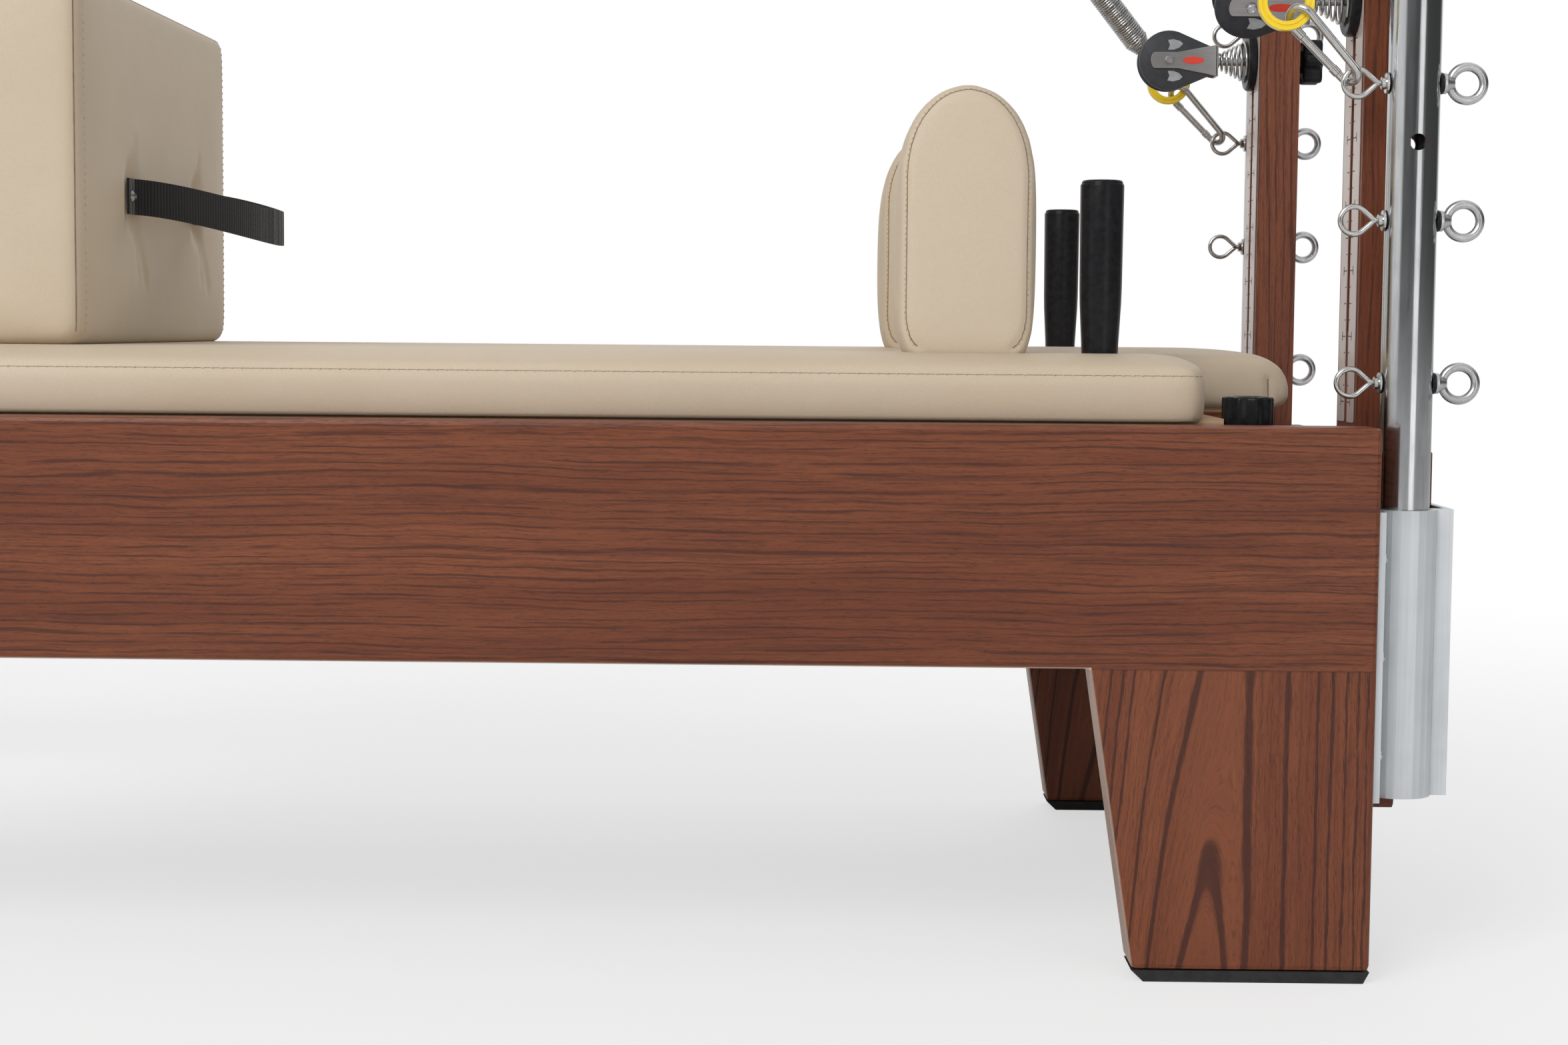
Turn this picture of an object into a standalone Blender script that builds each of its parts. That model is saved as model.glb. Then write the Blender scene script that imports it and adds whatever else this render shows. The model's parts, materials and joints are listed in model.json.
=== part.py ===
"""Pilates reformer with a tower: an oak frame with a sliding padded carriage, and a steel tower at its head.

Metres, +Z up. +X points to the head end, where the tower stands. The floor is Z = 0, and Y = 0 is the
mid-plane. The left side of the machine, as its user lies on it, is -Y.
"""

import math

import bmesh
import bpy
from mathutils import Matrix, Vector

GAP = 0.0003  # left between two pieces that touch
RUNNING = 0.0004  # radial clearance of a pin or bolt in its hole
CUT_PAST = 0.01  # how far a cutter reaches past a face

# Frame
FRAME_LENGTH = 2.40
FRAME_WIDTH = 0.718
RAIL_THICKNESS = 0.045
RAIL_HEIGHT = 0.176
RAIL_TOP = 0.405
RAIL_ROUNDING = 0.004
EDGE_ROUNDING = 0.002  # of the cross boards' edges
LEG_TOP_WIDTH = 0.207
LEG_FOOT_WIDTH = 0.1735
LEG_CHAMFER = 0.009
FOOT_THICKNESS = 0.0085
FOOT_SIDE_INSET = 0.001
END_BOARD_THICKNESS = 0.030
END_BOARD_DROP = 0.020  # of its top edge below the rail's

# Track, carriage and wheels
TRACK_WALL = 0.003
TRACK_LEDGE_WIDTH = 0.0467
TRACK_LEDGE_DROP = 0.096  # of the ledge that the wheels run on below the rail's top
TRACK_LEDGE_THICKNESS = 0.004
TRACK_LIP = 0.004
TRACK_WEB_DROP = 0.028  # of the web's top edge below the rail's top
TRACK_SKIRT = 0.008  # of the web below the ledge's top
TRACK_FOOT_START = 0.060  # of the track's foot end from the footbar's pivot
TRACK_HEAD_CLEARANCE = 0.010  # between the track and the head end board
WHEEL_RADIUS = 0.023
WHEEL_WIDTH = 0.020
WHEEL_CHAMFER = 0.002
WHEEL_FLOAT = 0.005  # between the track's lip and the wheel
WHEEL_SIDE_PLAY = 0.0008
AXLE_RADIUS = 0.004
BRACKET_THICKNESS = 0.004
BRACKET_LENGTH = 0.050
BRACKET_LEDGE = 0.026
BRACKET_CLEARANCE = 0.005  # between a wheel bracket's foot and the track's lip
BRACKET_ROOT = 0.002  # of a bracket or a leaf let into the base
BASE_THICKNESS = 0.0247
BASE_SIDE_CLEARANCE = 0.016  # between the base and a rail
WHEEL_INSET = 0.120  # of an axle from the end of the carriage base

# Carriage upholstery
PAD_LENGTH = 1.160
PAD_SIDE_INSET = 0.042  # of the pad's side from the rail's outer face
PAD_THICKNESS = 0.0445
PAD_LIFT = 0.004  # of the pad's underside above the rails
PAD_HEAD_SETBACK = 0.116  # of the pad's head end from the end of the frame
PAD_CORNER = 0.020
PAD_ROUNDING = 0.007
PAD_OPEN_MARGIN = 0.020  # of the level stretch of its top from the box and from the headrest's groove
PAD_FALL = 0.001  # of its top from the level stretch to either end
BASE_INSET = 0.012
HEADREST_LENGTH = 0.324
HEADREST_WIDTH = 0.300
HEADREST_HEIGHT = 0.0477
HEADREST_SHADOW = 0.0025  # of its cover's underside above the pad's
HEADREST_ROUNDING = 0.008
HEADREST_TOE = 0.006
HEADREST_SETBACK = 0.026
HEADREST_NOSE_RADIUS = 0.028
HEADREST_HEEL_RADIUS = 0.024
HEADREST_SIDE_CLEARANCE = 0.008
HEADREST_HINGE_GROOVE = 0.020
HEADREST_BOARD_THICKNESS = 0.008
HEADREST_BOARD_INSET = 0.014
HINGE_KNUCKLE_RADIUS = 0.004
HINGE_KNUCKLE_LENGTH = 0.060
HINGE_LEAF_HALF = 0.003
HINGE_TAB_THICKNESS = 0.0018

# Shoulder rests and hand posts
REST_WIDTH = 0.106
REST_DEPTH = 0.100
REST_HEIGHT = 0.203
REST_ARCH_HEIGHT = 0.065
REST_FOOT_RADIUS = 0.011
REST_SETBACK = 0.295  # of the rest's centre from the end of the frame
REST_INSET = 0.087  # of the rest's middle from the pad's side
REST_PIN_RADIUS = 0.008
REST_PIN_SPACING = 0.056
REST_PLATE_THICKNESS = 0.003
REST_PLATE_INSET = 0.010
REST_PIN_BELOW = 0.003  # of a pin's end below the base
REST_ROUNDING = 0.006
POST_TOP_RADIUS = 0.0165
POST_WAIST_RADIUS = 0.0160
POST_WAIST_SHARE = 0.62  # of its height, from the top down to where the taper quickens
POST_FOOT_RADIUS = 0.0137
POST_RIM = 0.002
POST_HEIGHT = 0.1329
POST_SETBACKS = {"left": 0.1917, "right": 0.1746}  # as the photograph shows them
POST_INSET = 0.072  # of a post's middle from the pad's side
POST_BOLT_RADIUS = 0.005
POST_BOLT_BELOW = 0.005  # of the bolt's end below the base
POST_SEAT_DEPTH = 0.002  # of the dimple that a post stands in
POST_SEAT_CLEARANCE = 0.0008  # round a post's foot

# Carriage stops
BUMPER_RADIUS = 0.0195
BUMPER_SETBACK = 0.085
BUMPER_RISE = 0.020  # of its top above the rail's
BUMPER_INSET = 0.0305  # of its middle from the rail's inner face
BUMPER_LOBES = 8
BUMPER_FLUTE = 0.0008
BUMPER_CAP_HEIGHT = 0.022
BUMPER_ROUNDING = 0.003

# Sitting box
BOX_LENGTH = 0.360
BOX_WIDTH = 0.500
BOX_HEIGHT = 0.288
BOX_SETBACK = 0.9645  # of its head-side face from the end of the frame
BOX_ROUNDING = 0.015
STRAP_WIDTH = 0.030
STRAP_THICKNESS = 0.0024
STRAP_SPAN = 0.200
STRAP_REACH = 0.100
STRAP_TAB = 0.020
STRAP_HEIGHT = 0.121  # of its anchors above the foot of the box
STRAP_DROOP = 0.021
STRAP_CURL = 1.5  # how late along its reach the bow droops

# Tower
TOWER_HEIGHT = 2.150
TOWER_TUBE_RADIUS = 0.019
TUBE_WALL = 0.002
TOWER_BEND_RADIUS = 0.120
TOWER_SETOUT = 0.0265  # of the tube's axis beyond the end of the frame
TOWER_INSET = 0.049  # of the tube's axis from the frame's side
TOWER_FOOT_RISE = 0.004  # of the tube's end above the socket's
PIN_HOLE_RADIUS = 0.006
PIN_HOLE_HEIGHT = 0.611
EYE_LEVELS = (0.4365, 0.555, 0.6545, 0.757)

# Tower sockets and the boards they hold
SOCKET_BOTTOM = 0.132
SOCKET_TOP = 0.344
SOCKET_WALL = 0.0054
SOCKET_FLANGE = 0.005
SOCKET_WEB = 0.020
SOCKET_FLANGE_INSET = 0.007  # of the inner flange's outer edge from the frame's side
SOCKET_FLANGE_LENGTH = 0.089  # of the outer flange from the tower's tube inwards
SOCKET_ROOT = 0.001  # of one part of the extrusion run into the next
CROSSBOARD_THICKNESS = 0.0217
CROSSBOARD_OVERHANG = 0.004  # past each pulley post
CROSSBOARD_BOTTOM = 0.128
PULLEY_POST_DEPTH = 0.036
PULLEY_POST_WIDTH = 0.070
PULLEY_POST_BOTTOM = 0.111
PULLEY_POST_ABOVE = 0.056  # of its top above the highest place of a pulley
PULLEY_POST_INSET = 0.084  # of its middle from the tower's tube
PULLEY_POST_CORNER = 0.008
SLOT_END_PLAY = 0.006

# Pulleys, each in a swivelling block that a knob clamps at its height in the post's slot
PULLEY_HEIGHT = 0.724
PULLEY_DOWN = 0.240
PULLEY_UP = 0.080
PULLEY_SETBACK = 0.0806
LEFT_PULLEY_TURN = math.radians(35)
SHEAVE_RADIUS = 0.024
SHEAVE_WIDTH = 0.012
SHEAVE_GROOVE = 0.005
SHEAVE_GROOVE_HALF = 0.002
SHEAVE_FLOAT = 0.001
CHEEK_RADIUS = 0.0275
CHEEK_THICKNESS = 0.003
CHEEK_TAIL = 0.042
CHEEK_TAIL_HALF = 0.013
CHEEK_FIN = (  # the outline of a window beside the axle, from the axle
    (-0.001, 0.0100), (0.004, 0.0100), (0.009, 0.0118), (0.0120, 0.0150), (0.005, 0.0190), (-0.001, 0.0180),
)
BLOCK_STRAP_THICKNESS = 0.002
BLOCK_STRAP_TIP = 0.017
BLOCK_STRAP_NARROW = 0.0075
BLOCK_STRAP_WIDE = 0.0145
BLOCK_STRAP_END = 0.0445
BLOCK_STRAP_BEND = 0.008  # where the arms start to flare
BLOCK_SINK = 0.0002  # of an arm let into its cheek
BLOCK_PLATE_PROUD = 0.001  # of the end plate past the arms
BLOCK_PLATE_INSET = 0.0003  # of the end plate from the arms' edges
AXLE_END = 0.0015
SWIVEL_RADIUS = 0.004
CLAMP_DISC_RADIUS = 0.027
CLAMP_DISC_THICKNESS = 0.010
CLAMP_BOLT_RADIUS = 0.004
CLAMP_BOLT_ROOT = 0.002  # of the bolt let into the disc
CONE_SPRING_WIRE = 0.0008
CONE_SPRING_SMALL = 0.0065
CONE_SPRING_LARGE = 0.0185
CONE_SPRING_TURNS = 4.5
CONE_SPRING_STEPS = 11  # straight stretches in each turn
KNOB_RADIUS = 0.0225
KNOB_LOBES = 6
KNOB_LOBE_DEPTH = 0.0030
KNOB_THICKNESS = 0.018
KNOB_NECK_RADIUS = 0.010
KNOB_NECK_LENGTH = 0.007

# Eye bolts, eye nuts, snap hooks and rings
EYE_WIRE = 0.002
EYE_RADIUS = 0.010
EYE_SHANK = 0.0123
EYE_WASHER_RADIUS = 0.0075
EYE_WASHER_THICKNESS = 0.0016
NUT_RING_RADIUS = 0.0122
NUT_RING_WIRE = 0.0033
NUT_COLLAR_RADIUS = 0.008
NUT_COLLAR_TOP_RADIUS = 0.006
NUT_RING_SETOUT = 0.0384  # of the ring's centre beyond the tube's axis
WELD = 0.0005  # of one part of a fitting run into the next
NUT_WASHER_THICKNESS = 0.0026
RING_RADIUS = 0.017
RING_WIRE = 0.0035
RING_SETBACK = 0.068
RING_HEIGHT = 0.712
SNAP_WIRE = 0.003
SNAP_SMALL = 0.0074
SNAP_LARGE = 0.0100
SNAP_TURN = math.radians(40)

# Push-through bar and its springs
PUSH_PIVOT_HEIGHT = 1.650
PUSH_ARM_LENGTH = 0.700
PUSH_BAR_RADIUS = 0.0125
PUSH_BAR_INSET = 0.038  # of its arm from the tower's tube, middle to middle
PUSH_BEND_RADIUS = 0.060
PUSH_REST_ANGLE = math.radians(35)
PUSH_ARM_ABOVE = 0.030
TOWER_SPRING_RADIUS = 0.012
SPRING_HOOK = 0.028
SPRING_HOOK_BEND = 0.0062
SPRING_WIRE = 0.0016
SPRING_ROOT = 0.004  # of a hook's wire let into the coil

# Footbar, standing platform and carriage springs
FOOTBAR_PIVOT_X = 0.300  # from the foot end of the frame
FOOTBAR_PIVOT_RISE = 0.035  # of the pivot above the rail's top
FOOTBAR_LENGTH = 0.360
FOOTBAR_RADIUS = 0.016
FOOTBAR_SIDE_PLAY = 0.0007  # between the bar and an index plate
FOOTBAR_BEND = 0.070
FOOTBAR_LEAN = math.radians(15)
FOOTBAR_STUB = 0.028
GRIP_THICKNESS = 0.005
GRIP_LENGTH = 0.360
INDEX_PLATE_THICKNESS = 0.005
INDEX_RADIUS = 0.072
INDEX_STEPS = (15, 40, 65)  # degrees from upright
INDEX_PIN_RADIUS = 0.005
INDEX_PLATE_RIM = 0.014  # beyond the pin holes
INDEX_PLATE_DROP = 0.080  # of its foot below the rail's top
INDEX_PLATE_BACK = 0.050
INDEX_PLATE_FRONT = 0.028
PIN_KNOB_RADIUS = 0.0125
PIN_KNOB_NECK = 0.0105
PIN_KNOB_LENGTH = 0.022
PIN_KNOB_CLEARANCE = 0.009
PIVOT_NUT_RADIUS = 0.010
PIVOT_NUT_THICKNESS = 0.005
PLATFORM_LENGTH = 0.205
PLATFORM_THICKNESS = 0.018
PLATFORM_PAD_THICKNESS = 0.016
PLATFORM_PAD_INSET = 0.012
PLATFORM_PAD_ROUNDING = 0.004
APRON_THICKNESS = 0.030
APRON_INSET = 0.004
APRON_ROOT = 0.006  # of the apron run up into the platform
SPRING_BAR_X = 0.345  # from the foot end of the frame
SPRING_BAR_DROP = 0.087  # below the rail's top
SPRING_BAR_RADIUS = 0.010
SPRING_COUNT = 4
SPRING_PITCH = 0.075
SPRING_RADIUS = 0.014
SPRING_BAR_HOOK = 0.016
SPRING_EYE_RADIUS = 0.010
SPRING_LEAVING = (0.004, 0.0003, 0.0007)  # where its wire enters each end of a coil, a little off the axis
SPRING_LENGTH = 0.460
RACK_HEIGHT = 0.100
RACK_THICKNESS = 0.030

# Worked out from the dimensions above
HEAD_OVERHANG = TOWER_SETOUT + NUT_RING_SETOUT + NUT_RING_RADIUS + NUT_RING_WIRE
HEAD_X = (FRAME_LENGTH - HEAD_OVERHANG) / 2
FOOT_X = HEAD_X - FRAME_LENGTH
RAIL_OUTER = FRAME_WIDTH / 2
RAIL_INNER = RAIL_OUTER - RAIL_THICKNESS
RAIL_BOTTOM = RAIL_TOP - RAIL_HEIGHT
END_BOARD_TOP = RAIL_TOP - END_BOARD_DROP
TOWER_X = HEAD_X + TOWER_SETOUT
TOWER_Y = RAIL_OUTER - TOWER_INSET
HOOKED_LEVEL = EYE_LEVELS[2]  # where the snap hooks hang
PUSH_BAR_Y = TOWER_Y - PUSH_BAR_INSET
PULLEY_Y = TOWER_Y - PULLEY_POST_INSET
PULLEY_POST_TOP = PULLEY_HEIGHT + PULLEY_UP + PULLEY_POST_ABOVE
PUSH_END_X = TOWER_X - PUSH_ARM_LENGTH * math.sin(PUSH_REST_ANGLE)
PUSH_END_Z = PUSH_PIVOT_HEIGHT - PUSH_ARM_LENGTH * math.cos(PUSH_REST_ANGLE)
PAD_BOTTOM = RAIL_TOP + PAD_LIFT
PAD_TOP = PAD_BOTTOM + PAD_THICKNESS
PAD_HALF = RAIL_OUTER - PAD_SIDE_INSET
PAD_HEAD = HEAD_X - PAD_HEAD_SETBACK
PAD_FOOT = PAD_HEAD - PAD_LENGTH
BASE_TOP = PAD_BOTTOM - GAP
BASE_BOTTOM = BASE_TOP - BASE_THICKNESS
BASE_HALF = RAIL_INNER - BASE_SIDE_CLEARANCE
BUMPER_X = HEAD_X - BUMPER_SETBACK
BUMPER_Y = RAIL_INNER - BUMPER_INSET
BUMPER_TOP = RAIL_TOP + BUMPER_RISE
BASE_HEAD = BUMPER_X - BUMPER_RADIUS - GAP
BASE_FOOT = PAD_FOOT + BASE_INSET
HEADREST_HEAD = HEAD_X - HEADREST_SETBACK
HEADREST_FOOT = HEADREST_HEAD - HEADREST_LENGTH
HINGE_X = HEADREST_FOOT - HEADREST_HINGE_GROOVE / 2
HINGE_Z = PAD_BOTTOM + HINGE_KNUCKLE_RADIUS
REST_X = HEAD_X - REST_SETBACK
REST_Y = PAD_HALF - REST_INSET
REST_FOOT = PAD_TOP + GAP
POST_Y = PAD_HALF - POST_INSET
POST_FOOT = PAD_TOP - POST_SEAT_DEPTH + GAP
WEB_FACE = RAIL_INNER - GAP - TRACK_WALL
LIP_INNER = WEB_FACE - TRACK_LEDGE_WIDTH
WHEEL_Y = LIP_INNER + TRACK_WALL + WHEEL_FLOAT + WHEEL_WIDTH / 2
TRACK_LEDGE_TOP = RAIL_TOP - TRACK_LEDGE_DROP
TRACK_WEB_TOP = RAIL_TOP - TRACK_WEB_DROP
WHEEL_Z = TRACK_LEDGE_TOP + GAP + WHEEL_RADIUS
WHEEL_XS = (BASE_FOOT + WHEEL_INSET, BASE_HEAD - WHEEL_INSET)
FOOTBAR_X = FOOT_X + FOOTBAR_PIVOT_X
FOOTBAR_Y = RAIL_INNER - GAP - INDEX_PLATE_THICKNESS - FOOTBAR_SIDE_PLAY - FOOTBAR_RADIUS
FOOTBAR_PIVOT_Z = RAIL_TOP + FOOTBAR_PIVOT_RISE
SPRING_BAR_Z = RAIL_TOP - SPRING_BAR_DROP
TRACK_FOOT = FOOTBAR_X + TRACK_FOOT_START
TRACK_HEAD = HEAD_X - END_BOARD_THICKNESS - TRACK_HEAD_CLEARANCE
POST_FACE = HEAD_X + GAP
POST_BACK = POST_FACE + PULLEY_POST_DEPTH
BOX_FACE = HEAD_X - BOX_SETBACK
PULLEY_X = HEAD_X - PULLEY_SETBACK
CHEEK_Y = SHEAVE_WIDTH / 2 + SHEAVE_FLOAT
SIDES = ((-1, "left"), (1, "right"))

PLANES = {
    "XY": Matrix.Identity(3),
    "XZ": Matrix(((1, 0, 0), (0, 0, -1), (0, 1, 0))),
    "YZ": Matrix(((0, 0, 1), (1, 0, 0), (0, 1, 0))),
}
AXES = {"X": Vector((1, 0, 0)), "Y": Vector((0, 1, 0)), "Z": Vector((0, 0, 1))}


def start_scene():
    for old in list(bpy.data.objects):
        bpy.data.objects.remove(old, do_unlink=True)
    model = bpy.data.collections.new("pilates_reformer_with_tower")
    bpy.context.scene.collection.children.link(model)
    return model


MODEL = start_scene()


def material(name, colour, roughness, metallic=0.0):
    made = bpy.data.materials.new(name)
    made.use_nodes = True
    shader = made.node_tree.nodes["Principled BSDF"]
    shader.inputs["Base Color"].default_value = (*colour, 1.0)
    shader.inputs["Roughness"].default_value = roughness
    shader.inputs["Metallic"].default_value = metallic
    made.diffuse_color = (*colour, 1.0)
    return made


def piece(mesh, matrix=None):
    made = bpy.data.objects.new("piece", mesh)
    MODEL.objects.link(made)
    if matrix:
        made.matrix_world = matrix
    return made


def settled(source):
    """A new piece with the evaluated mesh of the source, in world space, welded. The source is removed."""
    graph = bpy.context.evaluated_depsgraph_get()
    graph.update()
    mesh = bpy.data.meshes.new_from_object(source.evaluated_get(graph))
    mesh.transform(source.matrix_world)
    form = bmesh.new()
    form.from_mesh(mesh)
    bmesh.ops.remove_doubles(form, verts=form.verts, dist=0.000002)
    bmesh.ops.dissolve_degenerate(form, edges=form.edges, dist=0.000001)
    form.to_mesh(mesh)
    form.free()
    bpy.data.objects.remove(source, do_unlink=True)
    return piece(mesh)


def block(low, high, rounding=0.0, steps=1):
    low, high = Vector(low), Vector(high)
    form = bmesh.new()
    bmesh.ops.create_cube(form, size=1.0)
    bmesh.ops.scale(form, vec=high - low, verts=form.verts)
    bmesh.ops.translate(form, vec=(low + high) / 2, verts=form.verts)
    mesh = bpy.data.meshes.new("block")
    form.to_mesh(mesh)
    form.free()
    made = piece(mesh)
    return rounded(made, rounding, steps) if rounding else made


def rounded(source, width, steps=1, angle=50):
    bevel = source.modifiers.new("rounding", "BEVEL")
    bevel.width = width
    bevel.segments = steps
    bevel.limit_method = "ANGLE"
    bevel.angle_limit = math.radians(angle)
    return settled(source)


def along(start, end):
    """The matrix that lays a shape, centred on its own Z axis, between two points."""
    start, end = Vector(start), Vector(end)
    turn = AXES["Z"].rotation_difference(end - start).to_matrix().to_4x4()
    return Matrix.Translation((start + end) / 2) @ turn


def rod(start, end, radius, sides=12, end_radius=None):
    start, end = Vector(start), Vector(end)
    form = bmesh.new()
    bmesh.ops.create_cone(
        form, cap_ends=True, segments=sides, depth=(end - start).length,
        radius1=radius, radius2=radius if end_radius is None else end_radius,
        matrix=along(start, end),
    )
    mesh = bpy.data.meshes.new("rod")
    form.to_mesh(mesh)
    form.free()
    return piece(mesh)


def torus(centre, radius, wire, sides=10, wire_sides=5):
    """A wire ring with its axis along Y."""
    bpy.ops.mesh.primitive_torus_add(
        major_radius=radius, minor_radius=wire, major_segments=sides, minor_segments=wire_sides,
    )
    made = bpy.context.object
    for holder in list(made.users_collection):
        holder.objects.unlink(made)
    MODEL.objects.link(made)
    made.matrix_world = Matrix.Translation(centre) @ Matrix.Rotation(math.pi / 2, 4, "X")
    bpy.context.view_layer.update()
    return settled(made)


def plate(loops, thickness, plane, depth):
    """A flat outline with its holes, standing in a plane, with its middle at the given depth across it."""
    curve = bpy.data.curves.new("plate", "CURVE")
    curve.dimensions = "2D"
    curve.fill_mode = "BOTH"
    curve.extrude = thickness / 2
    for loop in loops:
        spline = curve.splines.new("POLY")
        spline.points.add(len(loop) - 1)
        for point, (u, v) in zip(spline.points, loop):
            point.co = (u, v, 0, 1)
        spline.use_cyclic_u = True
    turn = PLANES[plane].to_4x4()
    outward = {"XY": AXES["Z"], "XZ": AXES["Y"], "YZ": AXES["X"]}[plane]
    made = piece(curve, Matrix.Translation(outward * depth) @ turn)
    bpy.context.view_layer.update()
    return settled(made)


def wire(points, radius, sides=8, closed=False):
    """A round bar or tube along a list of points."""
    curve = bpy.data.curves.new("wire", "CURVE")
    curve.dimensions = "3D"
    curve.bevel_depth = radius
    curve.bevel_resolution = (sides - 4) // 2
    curve.use_fill_caps = not closed
    spline = curve.splines.new("POLY")
    spline.points.add(len(points) - 1)
    for point, place in zip(spline.points, points):
        point.co = (*place, 1)
    spline.use_cyclic_u = closed
    made = piece(curve)
    bpy.context.view_layer.update()
    return settled(made)


def turned(profile, place, axis, sides=16):
    """A profile of (radius, height) points, from the top of its outer side down, turned about an axis."""
    mesh = bpy.data.meshes.new("profile")
    points = [(radius, 0, height) for radius, height in profile]
    mesh.from_pydata(points, [(i, i + 1) for i in range(len(points) - 1)], [])
    made = piece(mesh)
    screw = made.modifiers.new("turn", "SCREW")
    screw.steps = screw.render_steps = sides
    screw.use_merge_vertices = True
    screw.merge_threshold = 0.00001
    made.matrix_world = Matrix.Translation(place) @ AXES["Z"].rotation_difference(axis).to_matrix().to_4x4()
    bpy.context.view_layer.update()
    return settled(made)


def combined(base, others, operation):
    made = base
    for other in others:
        bpy.context.view_layer.update()
        modifier = made.modifiers.new(operation.lower(), "BOOLEAN")
        modifier.operation = operation
        modifier.solver = "EXACT"
        modifier.object = other
        made = settled(made)
        bpy.data.objects.remove(other, do_unlink=True)
    return made


def cut(base, *cutters):
    return combined(base, cutters, "DIFFERENCE")


def fused(base, *others):
    return combined(base, others, "UNION")


def node(name, finish, body, origin=(0, 0, 0)):
    """Makes a piece one named object with its finish, and with its origin at a joint or at the floor."""
    bpy.context.view_layer.update()
    mesh = body.data.copy()
    mesh.name = name
    mesh.transform(Matrix.Translation(-Vector(origin)) @ body.matrix_world)
    bpy.data.objects.remove(body, do_unlink=True)
    mesh.shade_smooth()
    mesh.set_sharp_from_angle(angle=math.radians(32))
    mesh.materials.append(finish)
    made = bpy.data.objects.new(name, mesh)
    made.location = origin
    MODEL.objects.link(made)
    return made


def arc(centre_u, centre_v, radius, start, end, steps, radius_v=None):
    """Points on an arc, angles in degrees, both ends included."""
    tall = radius if radius_v is None else radius_v
    angles = [math.radians(start + (end - start) * i / steps) for i in range(steps + 1)]
    return [(centre_u + radius * math.cos(a), centre_v + tall * math.sin(a)) for a in angles]


def circle(centre_u, centre_v, radius, steps=16):
    return arc(centre_u, centre_v, radius, 0, 360 - 360 / steps, steps - 1)


def rectangle(low_u, high_u, low_v, high_v, corner=0.0, steps=3):
    if not corner:
        return [(low_u, low_v), (high_u, low_v), (high_u, high_v), (low_u, high_v)]
    return (
        arc(high_u - corner, low_v + corner, corner, -90, 0, steps)
        + arc(high_u - corner, high_v - corner, corner, 0, 90, steps)
        + arc(low_u + corner, high_v - corner, corner, 90, 180, steps)
        + arc(low_u + corner, low_v + corner, corner, 180, 270, steps)
    )


def lobed(radius, depth, lobes, steps_per_lobe=6):
    count = lobes * steps_per_lobe
    turns = [2 * math.pi * i / count for i in range(count)]
    return [
        ((radius - depth + depth * math.cos(lobes * a)) * math.cos(a),
         (radius - depth + depth * math.cos(lobes * a)) * math.sin(a))
        for a in turns
    ]


OAK = material("stained_oak", (0.19, 0.055, 0.028), 0.42)
LEATHER = material("beige_leather", (0.60, 0.46, 0.33), 0.55)
PLY = material("birch_plywood", (0.55, 0.38, 0.22), 0.6)
RUBBER = material("black_rubber", (0.015, 0.015, 0.016), 0.8)
PLASTIC = material("black_plastic", (0.02, 0.02, 0.022), 0.35)
STEEL = material("polished_steel", (0.55, 0.55, 0.56), 0.15, 1.0)
ZINC = material("zinc_steel", (0.66, 0.66, 0.67), 0.3, 1.0)
ALUMINIUM = material("satin_aluminium", (0.70, 0.72, 0.74), 0.4, 1.0)
BLACK_STEEL = material("black_steel", (0.03, 0.03, 0.032), 0.45, 0.6)
WHITE_NYLON = material("white_nylon", (0.62, 0.64, 0.65), 0.4)
YELLOW = material("yellow_enamel", (0.85, 0.58, 0.02), 0.35)
WEBBING = material("black_webbing", (0.012, 0.012, 0.014), 0.8)
FOAM = material("black_foam", (0.02, 0.02, 0.02), 0.9)


def build_side_frames():
    """Each side is one glued frame: the rail, with a leg at each end that slopes on its inner edge."""
    bottom = FOOT_THICKNESS + GAP
    outline = [
        (FOOT_X, bottom), (FOOT_X, RAIL_TOP), (HEAD_X, RAIL_TOP), (HEAD_X, bottom),
        (HEAD_X - LEG_FOOT_WIDTH, bottom), (HEAD_X - LEG_TOP_WIDTH, RAIL_BOTTOM),
        (FOOT_X + LEG_TOP_WIDTH, RAIL_BOTTOM), (FOOT_X + LEG_FOOT_WIDTH, bottom),
    ]
    for side, word in SIDES:
        middle = side * (RAIL_OUTER - RAIL_THICKNESS / 2)
        frame = rounded(plate([outline], RAIL_THICKNESS, "XZ", middle), RAIL_ROUNDING, 2, 30)
        node(f"side_frame_{word}", OAK, frame)


def build_feet():
    """A rubber pad under each leg, narrower at the floor."""
    for end, outer_x, inward in (("head", HEAD_X, -1), ("foot", FOOT_X, 1)):
        inner_x = outer_x + inward * LEG_FOOT_WIDTH
        chamfer = inward * LEG_CHAMFER
        outline = [
            (outer_x, FOOT_THICKNESS), (outer_x + chamfer * 0.5, 0),
            (inner_x - chamfer, 0), (inner_x, FOOT_THICKNESS),
        ]
        for side, word in SIDES:
            middle = side * (RAIL_OUTER - RAIL_THICKNESS / 2)
            pad = plate([outline], RAIL_THICKNESS - 2 * FOOT_SIDE_INSET, "XZ", middle)
            node(f"rubber_foot_{end}_{word}", RUBBER, pad)


def build_end_boards():
    half = RAIL_INNER - GAP
    for end, low_x in (("head", HEAD_X - END_BOARD_THICKNESS), ("foot", FOOT_X)):
        low, high = (low_x, -half, RAIL_BOTTOM), (low_x + END_BOARD_THICKNESS, half, END_BOARD_TOP)
        node(f"{end}_end_board", OAK, block(low, high, EDGE_ROUNDING))


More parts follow.
